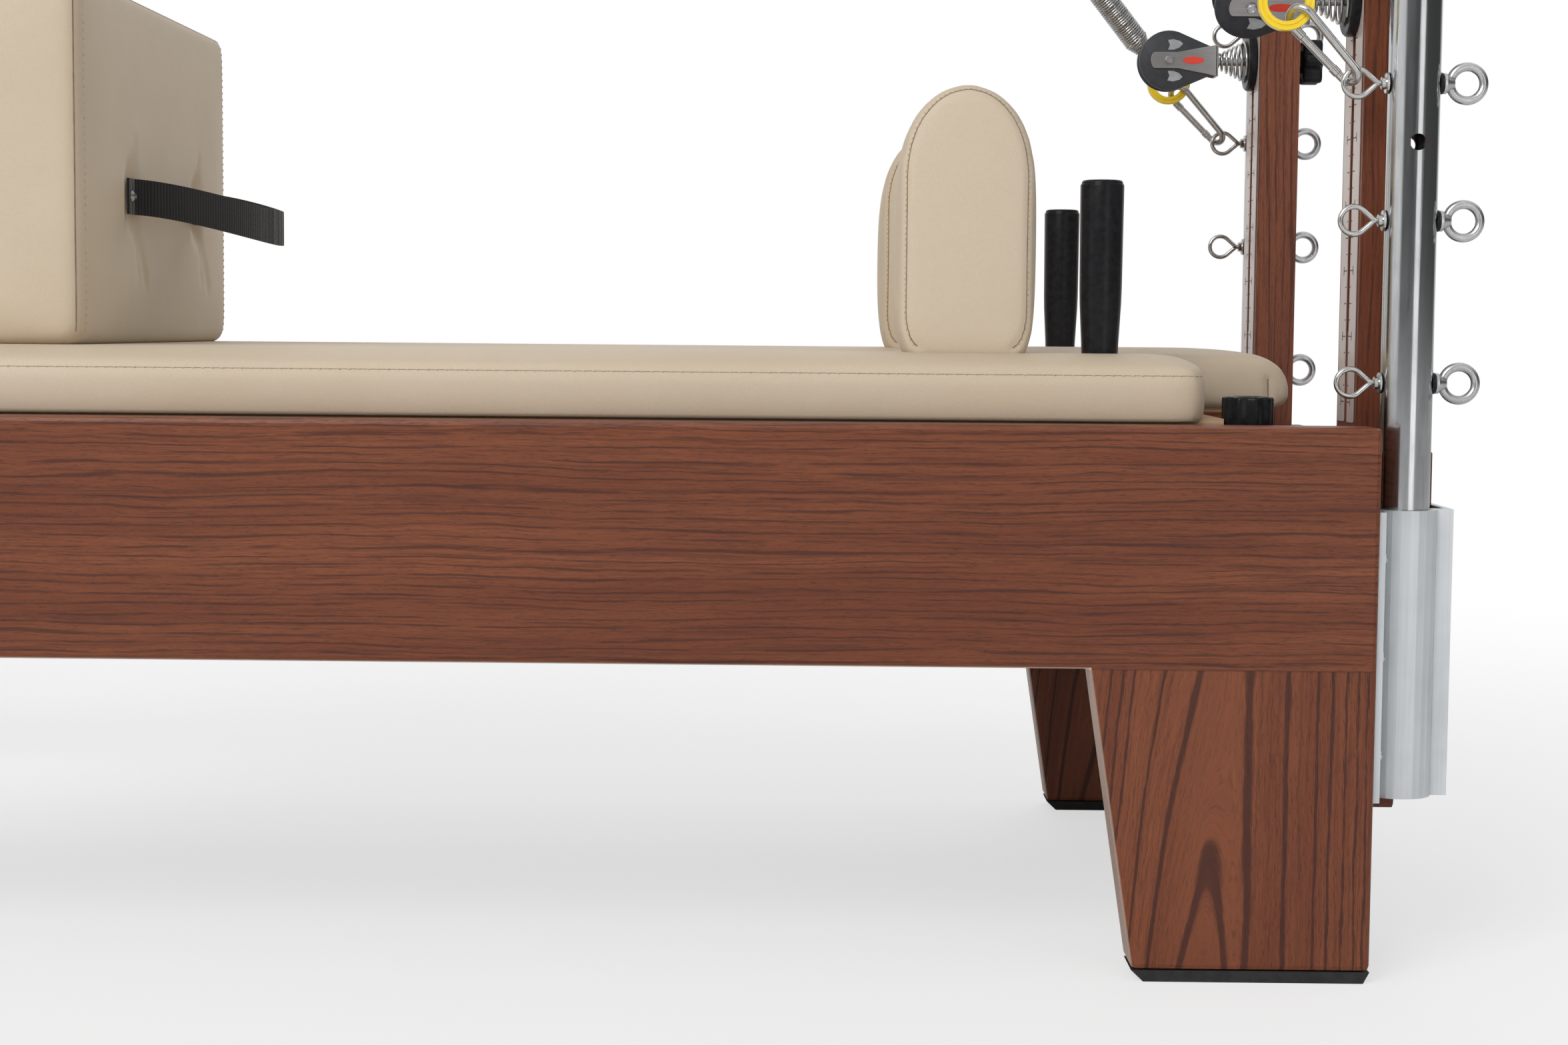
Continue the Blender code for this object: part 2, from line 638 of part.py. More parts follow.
def build_tracks():
    """Aluminium tracks on the rails' inner faces, each with the fluted stop that the carriage runs up to."""
    low = TRACK_LEDGE_TOP - TRACK_LEDGE_THICKNESS
    cap_foot = BUMPER_TOP - BUMPER_CAP_HEIGHT
    for side, word in SIDES:
        outline = [
            (RAIL_INNER - GAP, TRACK_LEDGE_TOP - TRACK_SKIRT), (RAIL_INNER - GAP, TRACK_WEB_TOP),
            (WEB_FACE, TRACK_WEB_TOP), (WEB_FACE, TRACK_LEDGE_TOP),
            (LIP_INNER + TRACK_WALL, TRACK_LEDGE_TOP), (LIP_INNER + TRACK_WALL, TRACK_LEDGE_TOP + TRACK_LIP),
            (LIP_INNER, TRACK_LEDGE_TOP + TRACK_LIP), (LIP_INNER, low), (WEB_FACE, low),
            (WEB_FACE, TRACK_LEDGE_TOP - TRACK_SKIRT),
        ]
        outline = [(side * y, z) for y, z in outline]
        track = plate([outline], TRACK_HEAD - TRACK_FOOT, "YZ", (TRACK_HEAD + TRACK_FOOT) / 2)
        y = side * BUMPER_Y
        flutes = [(BUMPER_X + u, y + v) for u, v in lobed(BUMPER_RADIUS, BUMPER_FLUTE, BUMPER_LOBES, 4)]
        cap = plate([flutes], BUMPER_CAP_HEIGHT, "XY", cap_foot + BUMPER_CAP_HEIGHT / 2)
        cap = rounded(cap, BUMPER_ROUNDING, 1, 60)
        post_foot, post_top = low + TRACK_LEDGE_THICKNESS / 4, cap_foot + BUMPER_ROUNDING
        post = rod((BUMPER_X, y, post_foot), (BUMPER_X, y, post_top), BUMPER_RADIUS - 2 * BUMPER_FLUTE, 16)
        node(f"track_{word}", ALUMINIUM, fused(track, fused(cap, post)))


def post_places():
    """X and Y of each hand post, left and right."""
    return [(HEAD_X - POST_SETBACKS[word], side * POST_Y) for side, word in SIDES]


def pin_places():
    """X of each of a shoulder rest's pins."""
    for offset in (-REST_PIN_SPACING / 2, REST_PIN_SPACING / 2):
        yield REST_X + offset


def through_hole(x, y, radius):
    """A cutter through the carriage's base and pad."""
    return rod((x, y, BASE_BOTTOM - CUT_PAST), (x, y, PAD_TOP + CUT_PAST), radius, 12)


def carriage_holes():
    """Cutters through the carriage's base and pad, for the shoulder rests' pins and the hand posts' bolts."""
    holes = []
    for side, _ in SIDES:
        for x in pin_places():
            holes.append(through_hole(x, side * REST_Y, REST_PIN_RADIUS + RUNNING))
    for x, y in post_places():
        holes.append(through_hole(x, y, POST_BOLT_RADIUS + RUNNING))
    return holes


def build_carriage_base():
    """The plywood base with its wheel brackets, their axles, and the ears of the headrest's hinge."""
    base = block((BASE_FOOT, -BASE_HALF, BASE_BOTTOM), (BASE_HEAD, BASE_HALF, BASE_TOP))
    base = cut(base, *carriage_holes())
    plate_face = WHEEL_Y - WHEEL_WIDTH / 2 - WHEEL_SIDE_PLAY
    back = plate_face - BRACKET_THICKNESS
    foot = TRACK_LEDGE_TOP + TRACK_LIP + BRACKET_CLEARANCE
    top = BASE_BOTTOM + BRACKET_ROOT
    seat = BASE_BOTTOM - BRACKET_THICKNESS
    angle = [
        (back, foot), (plate_face, foot), (plate_face, top),
        (back - BRACKET_LEDGE, top), (back - BRACKET_LEDGE, seat), (back, seat),
    ]
    fixings = []
    for side, _ in SIDES:
        for x in WHEEL_XS:
            bracket = plate([[(side * y, z) for y, z in angle]], BRACKET_LENGTH, "YZ", x)
            axle_end = side * (WHEEL_Y + WHEEL_WIDTH / 2)
            axle = rod((x, side * (back - 2 * AXLE_END), WHEEL_Z), (x, axle_end, WHEEL_Z), AXLE_RADIUS, 10)
            fixings.append(fused(bracket, axle))
        middle = side * (HINGE_KNUCKLE_LENGTH + 2 * GAP)
        ends = (middle - HINGE_KNUCKLE_LENGTH / 2, middle + HINGE_KNUCKLE_LENGTH / 2)
        knuckle = rod((HINGE_X, ends[0], HINGE_Z), (HINGE_X, ends[1], HINGE_Z), HINGE_KNUCKLE_RADIUS, 10)
        leaf = block(
            (HINGE_X - HINGE_LEAF_HALF, ends[0], BASE_TOP - BRACKET_ROOT),
            (HINGE_X + HINGE_LEAF_HALF, ends[1], HINGE_Z),
        )
        fixings.append(fused(knuckle, leaf))
    node("carriage_base", PLY, fused(base, *fixings))


def crown(pad, foot_side, head_side):
    """The pad's top is level between two lines across it, and falls a little from them to its ends."""
    form = bmesh.new()
    form.from_mesh(pad.data)
    for x in (foot_side, head_side):
        everything = form.verts[:] + form.edges[:] + form.faces[:]
        bmesh.ops.bisect_plane(form, geom=everything, plane_co=(x, 0, 0), plane_no=AXES["X"])
    for corner in form.verts:
        to_foot = (foot_side - corner.co.x) / (foot_side - PAD_FOOT)
        to_head = (corner.co.x - head_side) / (PAD_HEAD - head_side)
        if corner.co.z > (PAD_BOTTOM + PAD_TOP) / 2:
            corner.co.z -= PAD_FALL * max(to_foot, to_head, 0)
    form.to_mesh(pad.data)
    form.free()


def build_carriage_pad():
    half = PAD_HALF
    notch = HEADREST_WIDTH / 2 + HEADREST_SIDE_CLEARANCE
    notch_end = HEADREST_FOOT - HEADREST_HINGE_GROOVE
    outline = (
        arc(PAD_FOOT + PAD_CORNER, half - PAD_CORNER, PAD_CORNER, 180, 90, 3)
        + arc(PAD_HEAD - PAD_CORNER, half - PAD_CORNER, PAD_CORNER, 90, 0, 3)
        + [(PAD_HEAD, notch), (notch_end, notch), (notch_end, -notch), (PAD_HEAD, -notch)]
        + arc(PAD_HEAD - PAD_CORNER, PAD_CORNER - half, PAD_CORNER, 0, -90, 3)
        + arc(PAD_FOOT + PAD_CORNER, PAD_CORNER - half, PAD_CORNER, -90, -180, 3)
    )
    pad = rounded(plate([outline], PAD_THICKNESS, "XY", (PAD_BOTTOM + PAD_TOP) / 2), PAD_ROUNDING, 2, 60)
    crown(pad, BOX_FACE + PAD_OPEN_MARGIN, notch_end - PAD_OPEN_MARGIN)
    seats = [
        rod((x, y, POST_FOOT - GAP), (x, y, PAD_TOP + CUT_PAST), POST_FOOT_RADIUS + POST_SEAT_CLEARANCE, 18)
        for x, y in post_places()
    ]
    node("carriage_pad", LEATHER, cut(pad, *carriage_holes(), *seats))


def build_wheels():
    half = WHEEL_WIDTH / 2
    bore = AXLE_RADIUS + RUNNING
    face_radius, tread_half = WHEEL_RADIUS - WHEEL_CHAMFER, half - WHEEL_CHAMFER
    profile = [
        (bore, half), (face_radius, half), (WHEEL_RADIUS, tread_half), (WHEEL_RADIUS, -tread_half),
        (face_radius, -half), (bore, -half), (bore, half),
    ]
    for end, x in zip(("foot", "head"), WHEEL_XS):
        for side, word in SIDES:
            place = (x, side * WHEEL_Y, WHEEL_Z)
            node(f"wheel_{end}_{word}", RUBBER, turned(profile, place, AXES["Y"], 16), origin=place)


def build_headrest():
    half = HEADREST_WIDTH / 2
    low = PAD_BOTTOM + HEADREST_SHADOW
    top = PAD_BOTTOM + HEADREST_HEIGHT
    toe, heel = HEADREST_NOSE_RADIUS, HEADREST_HEEL_RADIUS
    outline = (
        [(HEADREST_FOOT, low), (HEADREST_HEAD - HEADREST_TOE, low), (HEADREST_HEAD, low + HEADREST_TOE)]
        + arc(HEADREST_HEAD - toe, top - toe, toe, 0, 90, 5)
        + arc(HEADREST_FOOT + heel, top - heel, heel, 90, 180, 4)
    )
    pad = rounded(plate([outline], HEADREST_WIDTH, "XZ", 0), HEADREST_ROUNDING, 2, 60)
    inset = HEADREST_BOARD_INSET
    board_low = (HEADREST_FOOT + inset, inset - half, PAD_BOTTOM)
    board_high = (HEADREST_HEAD - inset, half - inset, PAD_BOTTOM + HEADREST_BOARD_THICKNESS)
    recess = block(
        (board_low[0] - GAP, board_low[1] - GAP, low - CUT_PAST),
        (board_high[0] + GAP, board_high[1] + GAP, board_high[2] + GAP),
    )
    hinge = (HINGE_X, 0, HINGE_Z)
    node("headrest_pad", LEATHER, cut(pad, recess), origin=hinge)
    board = block(board_low, board_high)
    tab_half = HINGE_KNUCKLE_LENGTH / 2
    tab_end = (board_low[0] + inset, tab_half, PAD_BOTTOM + HINGE_TAB_THICKNESS)
    tab = block((HINGE_X, -tab_half, PAD_BOTTOM + GAP), tab_end)
    knuckle = rod((HINGE_X, -tab_half, HINGE_Z), (HINGE_X, tab_half, HINGE_Z), HINGE_KNUCKLE_RADIUS, 10)
    node("headrest_board", PLY, fused(board, tab, knuckle), origin=hinge)


def build_shoulder_rests():
    """Each rest is a padded arch on a steel bracket: a plate let into its foot, with two pins below it."""
    half = REST_WIDTH / 2
    top = REST_FOOT + REST_HEIGHT
    spring = top - REST_ARCH_HEIGHT
    outline = (
        arc(REST_X + half - REST_FOOT_RADIUS, REST_FOOT + REST_FOOT_RADIUS, REST_FOOT_RADIUS, -90, 0, 2)
        + arc(REST_X, spring, half, 0, 180, 14, REST_ARCH_HEIGHT)
        + arc(REST_X - half + REST_FOOT_RADIUS, REST_FOOT + REST_FOOT_RADIUS, REST_FOOT_RADIUS, 180, 270, 2)
    )
    reach_x, reach_y = half - REST_PLATE_INSET, REST_DEPTH / 2 - REST_PLATE_INSET
    plate_top = REST_FOOT + REST_PLATE_THICKNESS
    for side, word in SIDES:
        y = side * REST_Y
        pad = rounded(plate([outline], REST_DEPTH, "XZ", y), REST_ROUNDING, 1, 60)
        recess = block(
            (REST_X - reach_x - GAP, y - reach_y - GAP, REST_FOOT - CUT_PAST),
            (REST_X + reach_x + GAP, y + reach_y + GAP, plate_top + GAP),
        )
        place = (REST_X, y, REST_FOOT)
        node(f"shoulder_rest_{word}", LEATHER, cut(pad, recess), origin=place)
        foot = block((REST_X - reach_x, y - reach_y, REST_FOOT), (REST_X + reach_x, y + reach_y, plate_top))
        pins = [
            rod((x, y, BASE_BOTTOM - REST_PIN_BELOW), (x, y, plate_top - WELD), REST_PIN_RADIUS, 12)
            for x in pin_places()
        ]
        node(f"shoulder_bracket_{word}", ZINC, fused(foot, *pins), origin=place)


def build_hand_posts():
    top = PAD_TOP + POST_HEIGHT
    bolt_end = BASE_BOTTOM - POST_BOLT_BELOW
    profile = [
        (0, top), (POST_TOP_RADIUS - 2 * POST_RIM, top), (POST_TOP_RADIUS, top - POST_RIM),
        (POST_WAIST_RADIUS, top - POST_HEIGHT * POST_WAIST_SHARE), (POST_FOOT_RADIUS, POST_FOOT),
        (POST_BOLT_RADIUS, POST_FOOT), (POST_BOLT_RADIUS, bolt_end), (0, bolt_end),
    ]
    for (x, y), (_, word) in zip(post_places(), SIDES):
        node(f"hand_post_{word}", PLASTIC, turned(profile, (x, y, 0), AXES["Z"], 18))


def outward_facing(source):
    form = bmesh.new()
    form.from_mesh(source.data)
    bmesh.ops.recalc_face_normals(form, faces=form.faces)
    form.to_mesh(source.data)
    form.free()
    return source


def hand_loop(face_x):
    """The webbing loop on the box's head-side face: flat tabs on it, and a drooping bow between them."""
    lift = GAP + STRAP_THICKNESS / 2
    half = STRAP_SPAN / 2
    bow = arc(0, 0, STRAP_REACH - lift, -90, 90, 12, half)
    path = [(0, -half - STRAP_TAB)] + bow + [(0, half + STRAP_TAB)]
    curve = bpy.data.curves.new("strap", "CURVE")
    curve.dimensions = "2D"
    curve.extrude = STRAP_WIDTH / 2
    spline = curve.splines.new("POLY")
    spline.points.add(len(path) - 1)
    for point, (out, y) in zip(spline.points, path):
        point.co = (face_x + out + lift, y, 0, 1)
    ribbon = piece(curve, Matrix.Translation((0, 0, PAD_TOP + GAP + STRAP_HEIGHT)))
    bpy.context.view_layer.update()
    ribbon = settled(ribbon)
    for corner in ribbon.data.vertices:
        corner.co.z -= STRAP_DROOP * (abs(corner.co.x - face_x) / STRAP_REACH) ** STRAP_CURL
    solid = ribbon.modifiers.new("thickness", "SOLIDIFY")
    solid.thickness = STRAP_THICKNESS
    solid.offset = 0
    return outward_facing(settled(ribbon))


def build_sitting_box():
    half = BOX_WIDTH / 2
    foot = PAD_TOP + GAP
    body = block((BOX_FACE - BOX_LENGTH, -half, foot), (BOX_FACE, half, foot + BOX_HEIGHT), BOX_ROUNDING, 3)
    node("sitting_box", LEATHER, body)
    node("box_strap", WEBBING, hand_loop(BOX_FACE))


def build_pulley_posts():
    slot_low = PULLEY_HEIGHT - PULLEY_DOWN - CLAMP_BOLT_RADIUS - SLOT_END_PLAY
    slot_high = PULLEY_HEIGHT + PULLEY_UP + CLAMP_BOLT_RADIUS + SLOT_END_PLAY
    slot_half = CLAMP_BOLT_RADIUS + RUNNING
    half = PULLEY_POST_WIDTH / 2
    for side, word in SIDES:
        y = side * PULLEY_Y
        outline = rectangle(y - half, y + half, PULLEY_POST_BOTTOM, PULLEY_POST_TOP, PULLEY_POST_CORNER, 3)
        slot = rectangle(y - slot_half, y + slot_half, slot_low, slot_high)
        post = plate([outline, slot], PULLEY_POST_DEPTH, "YZ", (POST_FACE + POST_BACK) / 2)
        node(f"pulley_post_{word}", OAK, post)


def build_crossboard():
    half = PULLEY_Y + PULLEY_POST_WIDTH / 2 + CROSSBOARD_OVERHANG
    low = (POST_BACK + GAP, -half, CROSSBOARD_BOTTOM)
    high = (POST_BACK + GAP + CROSSBOARD_THICKNESS, half, END_BOARD_TOP)
    node("crossboard", OAK, block(low, high, EDGE_ROUNDING))


def socket_seat():
    """X of the crossboard's outer face, which the outer flange of each socket lies on."""
    return POST_BACK + GAP + CROSSBOARD_THICKNESS + GAP


def socket_strip(side, xs, ys):
    """One flat part of a socket's extrusion, at its full height."""
    low_y, high_y = sorted(side * y for y in ys)
    return block((xs[0], low_y, SOCKET_BOTTOM), (xs[1], high_y, SOCKET_TOP))


def build_tower_sockets():
    """Aluminium extrusions: a barrel for the tower's tube, and flanges on the rail's end and crossboard."""
    bore = TOWER_TUBE_RADIUS + GAP
    middle = (SOCKET_BOTTOM + SOCKET_TOP) / 2
    height = SOCKET_TOP - SOCKET_BOTTOM
    inner, seat = HEAD_X + GAP, socket_seat()
    outer = seat + SOCKET_FLANGE
    web_low = TOWER_Y - SOCKET_WEB / 2
    rail_flange_end = RAIL_OUTER - SOCKET_FLANGE_INSET
    board_flange_end = TOWER_Y - SOCKET_FLANGE_LENGTH
    for side, word in SIDES:
        y = side * TOWER_Y
        barrel = plate([circle(TOWER_X, y, bore + SOCKET_WALL, 24)], height, "XY", middle)
        strips = [
            socket_strip(side, (inner, inner + SOCKET_FLANGE), (RAIL_INNER + 2 * GAP, rail_flange_end)),
            socket_strip(side, (inner + SOCKET_ROOT, TOWER_X - bore), (web_low, TOWER_Y + SOCKET_WEB / 2)),
            socket_strip(side, (seat, outer), (board_flange_end, TOWER_Y)),
            socket_strip(side, (TOWER_X + bore, outer - SOCKET_ROOT), (web_low, TOWER_Y + SOCKET_FLANGE)),
        ]
        hole = rod((TOWER_X, y, SOCKET_BOTTOM - CUT_PAST), (TOWER_X, y, SOCKET_TOP + CUT_PAST), bore, 24)
        node(f"tower_socket_{word}", ALUMINIUM, cut(fused(barrel, *strips), hole))


def arch(half_span, low, high, bend, steps, across):
    """Points of an inverted U, given by a function that places (sideways, up)."""
    points = [(-half_span, low)]
    points += [(-half_span + bend - bend * math.cos(a), high - bend + bend * math.sin(a))
               for a in (math.pi / 2 * i / steps for i in range(steps + 1))]
    points += [(-u, v) for u, v in reversed(points[1:])] + [(half_span, low)]
    return [across(u, v) for u, v in points]


def bent_tube(half_span, low, high, bend, radius, across):
    """An inverted U of tube, open at both ends, given by a function that places (sideways, up)."""
    tube = wire(arch(half_span, low, high, bend, 5, across), radius, 14)
    bore = wire(arch(half_span, low - CUT_PAST, high, bend, 5, across), radius - TUBE_WALL, 10)
    return cut(tube, bore)


def cross_hole(middle, radius):
    """A cutter along Y, right through a tube, for a bolt or pin that turns in it."""
    reach = AXES["Y"] * 2 * TOWER_TUBE_RADIUS
    return rod(middle - reach, middle + reach, radius + RUNNING, 12)


def swing_bolt(side, pivot, root, nut_face):
    """A bolt along Y that a bar swings on, from its root inwards, and the nut beside the bar's inner face."""
    def at(distance):
        return pivot[0], side * distance, pivot[1]

    bolt = rod(at(root), at(nut_face - PIVOT_NUT_THICKNESS / 2), PIN_HOLE_RADIUS, 12)
    nut = rod(at(nut_face), at(nut_face - PIVOT_NUT_THICKNESS), PIVOT_NUT_RADIUS, 6)
    return bolt, nut


def eye_ring_x():
    """X of the centre of an eye bolt's ring."""
    return TOWER_X - TOWER_TUBE_RADIUS - EYE_SHANK - EYE_RADIUS


def eye_bolt(y, z):
    wall = TOWER_X - TOWER_TUBE_RADIUS + TUBE_WALL / 2
    ring = torus((eye_ring_x(), y, z), EYE_RADIUS, EYE_WIRE)
    shank = rod((eye_ring_x() + EYE_RADIUS, y, z), (wall, y, z), EYE_WIRE, 5)
    washer_face = TOWER_X - TOWER_TUBE_RADIUS - EYE_WASHER_THICKNESS
    washer = rod((washer_face, y, z), (wall, y, z), EYE_WASHER_RADIUS, 8)
    return fused(ring, shank, washer)


def eye_nut(y, z):
    surface = TOWER_X + TOWER_TUBE_RADIUS
    ring_x = TOWER_X + NUT_RING_SETOUT
    ring = torus((ring_x, y, z), NUT_RING_RADIUS, NUT_RING_WIRE)
    washer_face = surface + NUT_WASHER_THICKNESS
    washer = rod((surface - TUBE_WALL / 2, y, z), (washer_face, y, z), NUT_COLLAR_RADIUS, 8)
    foot, top = (washer_face - WELD, y, z), (ring_x - NUT_RING_RADIUS + WELD, y, z)
    collar = rod(foot, top, NUT_COLLAR_RADIUS - WELD, 8, NUT_COLLAR_TOP_RADIUS)
    return fused(ring, collar, washer)


def push_pivot(side):
    """A bolt that the push-through bar swings on: a spacer off the tube, then the bolt and its nut."""
    arm_face = PUSH_BAR_Y + PUSH_BAR_RADIUS + GAP
    nut_face = PUSH_BAR_Y - PUSH_BAR_RADIUS - GAP
    wall = TOWER_Y - TOWER_TUBE_RADIUS + TUBE_WALL / 2
    pivot = (TOWER_X, PUSH_PIVOT_HEIGHT)
    spacer = rod(
        (pivot[0], side * wall, pivot[1]), (pivot[0], side * arm_face, pivot[1]), PIVOT_NUT_RADIUS, 12,
    )
    return fused(spacer, *swing_bolt(side, pivot, wall - 2 * WELD, nut_face))


def build_tower_frame():
    """The bent tube with what is fixed to it: eye bolts, eye nuts and the push-through bar's pivot bolts."""
    def across(u, v):
        return TOWER_X, u, v

    low = SOCKET_BOTTOM + TOWER_FOOT_RISE
    high = TOWER_HEIGHT - TOWER_TUBE_RADIUS
    tube = bent_tube(TOWER_Y, low, high, TOWER_BEND_RADIUS, TOWER_TUBE_RADIUS, across)
    fixings, holes = [], []
    for side, _ in SIDES:
        y = side * TOWER_Y
        holes.append(cross_hole(Vector((TOWER_X, y, PIN_HOLE_HEIGHT)), PIN_HOLE_RADIUS))
        fixings.append(push_pivot(side))
        for z in EYE_LEVELS:
            fixings += [eye_bolt(y, z), eye_nut(y, z)]
    node("tower_frame", STEEL, fused(cut(tube, *holes), *fixings))


def hook_line(side):
    """The eye's centre, the ring's centre and the direction from one to the other, on one side."""
    eye = Vector((eye_ring_x(), side * TOWER_Y, HOOKED_LEVEL))
    ring = Vector((HEAD_X - RING_SETBACK, side * TOWER_Y, RING_HEIGHT))
    return eye, ring, (ring - eye).normalized()


def snap_hook(side):
    """A pear-shaped spring hook: a small bend round the eye bolt, a large one round the ring."""
    eye, ring, line = hook_line(side)
    low = eye + line * EYE_RADIUS
    high = ring - line * RING_RADIUS
    across = math.cos(SNAP_TURN) * AXES["Y"] + math.sin(SNAP_TURN) * line.cross(AXES["Y"])
    points = []
    for centre, radius, start in ((low, SNAP_SMALL, 180), (high, SNAP_LARGE, 0)):
        for i in range(7):
            angle = math.radians(start + 30 * i)
            points.append(centre + radius * (math.cos(angle) * across + math.sin(angle) * line))
    return wire(points, SNAP_WIRE, 8, closed=True)


def build_snap_hooks():
    for side, word in SIDES:
        node(f"snap_hook_{word}", STEEL, snap_hook(side))
        ring = torus(hook_line(side)[1], RING_RADIUS, RING_WIRE, sides=16, wire_sides=6)
        node(f"spring_ring_{word}", YELLOW, ring)


def spring_with_hooks(start, end, radius, first_radius, last_radius):
    """A close-wound tension spring, hooked at each end round the rim of a ring that faces along Y."""
    flat = Vector((end.x - start.x, 0, end.z - start.z)).normalized()
    holds = (start + flat * first_radius, end - flat * last_radius)
    line = (holds[1] - holds[0]).normalized()
    ends, hooks = [], []
    for hold, radial, reach in ((holds[0], flat, line), (holds[1], -flat, -line)):
        foot = hold + reach * SPRING_HOOK
        turns = [math.radians(230 - 260 * i / 8) for i in range(9)]
        loop = [hold + SPRING_HOOK_BEND * (math.cos(a) * AXES["Y"] - math.sin(a) * radial) for a in turns]
        inside, outside = foot + reach * SPRING_ROOT, foot - reach * 1.5 * SPRING_ROOT
        hooks.append(wire([inside, outside] + loop, SPRING_WIRE, 6))
        ends.append(foot)
    return fused(rod(ends[0], ends[1], radius, 12), *hooks)


def push_eye(side):
    """The centre of the small eye on the push-through bar that holds a spring."""
    ring = hook_line(side)[1]
    end = Vector((PUSH_END_X, side * (PUSH_BAR_Y - PUSH_BEND_RADIUS), PUSH_END_Z))
    line = (ring - end).normalized()
    return end + line * (PUSH_BAR_RADIUS + EYE_RADIUS)


def build_tower_springs():
    for side, word in SIDES:
        spring = spring_with_hooks(
            hook_line(side)[1], push_eye(side), TOWER_SPRING_RADIUS, RING_RADIUS, EYE_RADIUS,
        )
        node(f"tower_spring_{word}", STEEL, spring)


def build_push_bar():
    pivot = Vector((TOWER_X, 0, PUSH_PIVOT_HEIGHT))
    down = Vector((-math.sin(PUSH_REST_ANGLE), 0, -math.cos(PUSH_REST_ANGLE)))

    def across(u, v):
        return pivot + AXES["Y"] * u + down * v

    bar = bent_tube(PUSH_BAR_Y, -PUSH_ARM_ABOVE, PUSH_ARM_LENGTH, PUSH_BEND_RADIUS, PUSH_BAR_RADIUS, across)
    holes, eyes = [], []
    for side, _ in SIDES:
        holes.append(cross_hole(pivot + AXES["Y"] * side * PUSH_BAR_Y, PIN_HOLE_RADIUS))
        eyes.append(torus(push_eye(side), EYE_RADIUS, EYE_WIRE))
    node("push_bar", STEEL, fused(cut(bar, *holes), *eyes), origin=pivot)


def cheek(face):
    """A teardrop side plate with two fin-shaped windows beside the axle."""
    tangent = math.degrees(math.acos((CHEEK_RADIUS - CHEEK_TAIL_HALF) / CHEEK_TAIL))
    outline = arc(0, 0, CHEEK_RADIUS, tangent, 360 - tangent, 16)
    outline += [(CHEEK_TAIL, -CHEEK_TAIL_HALF), (CHEEK_TAIL, CHEEK_TAIL_HALF)]
    loops = [outline]
    for up in (-1, 1):
        loops.append([(u, up * v) for u, v in CHEEK_FIN])
    return plate(loops, CHEEK_THICKNESS, "XZ", face * (CHEEK_Y + CHEEK_THICKNESS / 2))


def pulley_block():
    """The cheeks in their bent steel strap: two flared arms, an end plate, the axle and the swivel stem."""
    arm_y = CHEEK_Y + CHEEK_THICKNESS - BLOCK_SINK
    end, bend = BLOCK_STRAP_END, BLOCK_STRAP_BEND
    narrow, wide = BLOCK_STRAP_NARROW, BLOCK_STRAP_WIDE
    outline = arc(narrow / 2 - BLOCK_STRAP_TIP, 0, narrow / 2, 90, 270, 3, narrow)
    outline += [(bend, -narrow), (end, -wide), (end, wide), (bend, narrow)]
    reach = arm_y + BLOCK_STRAP_THICKNESS
    sides = []
    for face in (-1, 1):
        arm = plate([outline], BLOCK_STRAP_THICKNESS, "XZ", face * (arm_y + BLOCK_STRAP_THICKNESS / 2))
        sides.append(fused(arm, cheek(face)))
    across, up = reach - BLOCK_PLATE_INSET, wide - BLOCK_PLATE_INSET
    back = block((end - BLOCK_STRAP_THICKNESS, -across, -up), (end + BLOCK_PLATE_PROUD, across, up))
    axle = rod((0, -reach - AXLE_END, 0), (0, reach + AXLE_END, 0), AXLE_RADIUS, 10)
    disc_near = PULLEY_SETBACK - CLAMP_DISC_THICKNESS
    stem = rod((end - WELD, 0, 0), (disc_near - GAP, 0, 0), SWIVEL_RADIUS, 10)
    return fused(back, *sides, axle, stem)


def cone_spring(centre):
    """The coil between a block and its clamp's disc, which it is seated in."""
    start = BLOCK_STRAP_END + BLOCK_PLATE_PROUD + CONE_SPRING_WIRE + GAP
    end = PULLEY_SETBACK - CLAMP_DISC_THICKNESS
    count = int(CONE_SPRING_TURNS * CONE_SPRING_STEPS)
    points = []
    for i in range(count + 1):
        share = i / count
        angle = 2 * math.pi * CONE_SPRING_TURNS * share
        radius = CONE_SPRING_SMALL + (CONE_SPRING_LARGE - CONE_SPRING_SMALL) * share
        points.append(centre + Vector((
            start + (end - start) * share, radius * math.cos(angle), radius * math.sin(angle),
        )))
    return wire(points, CONE_SPRING_WIRE, 6)


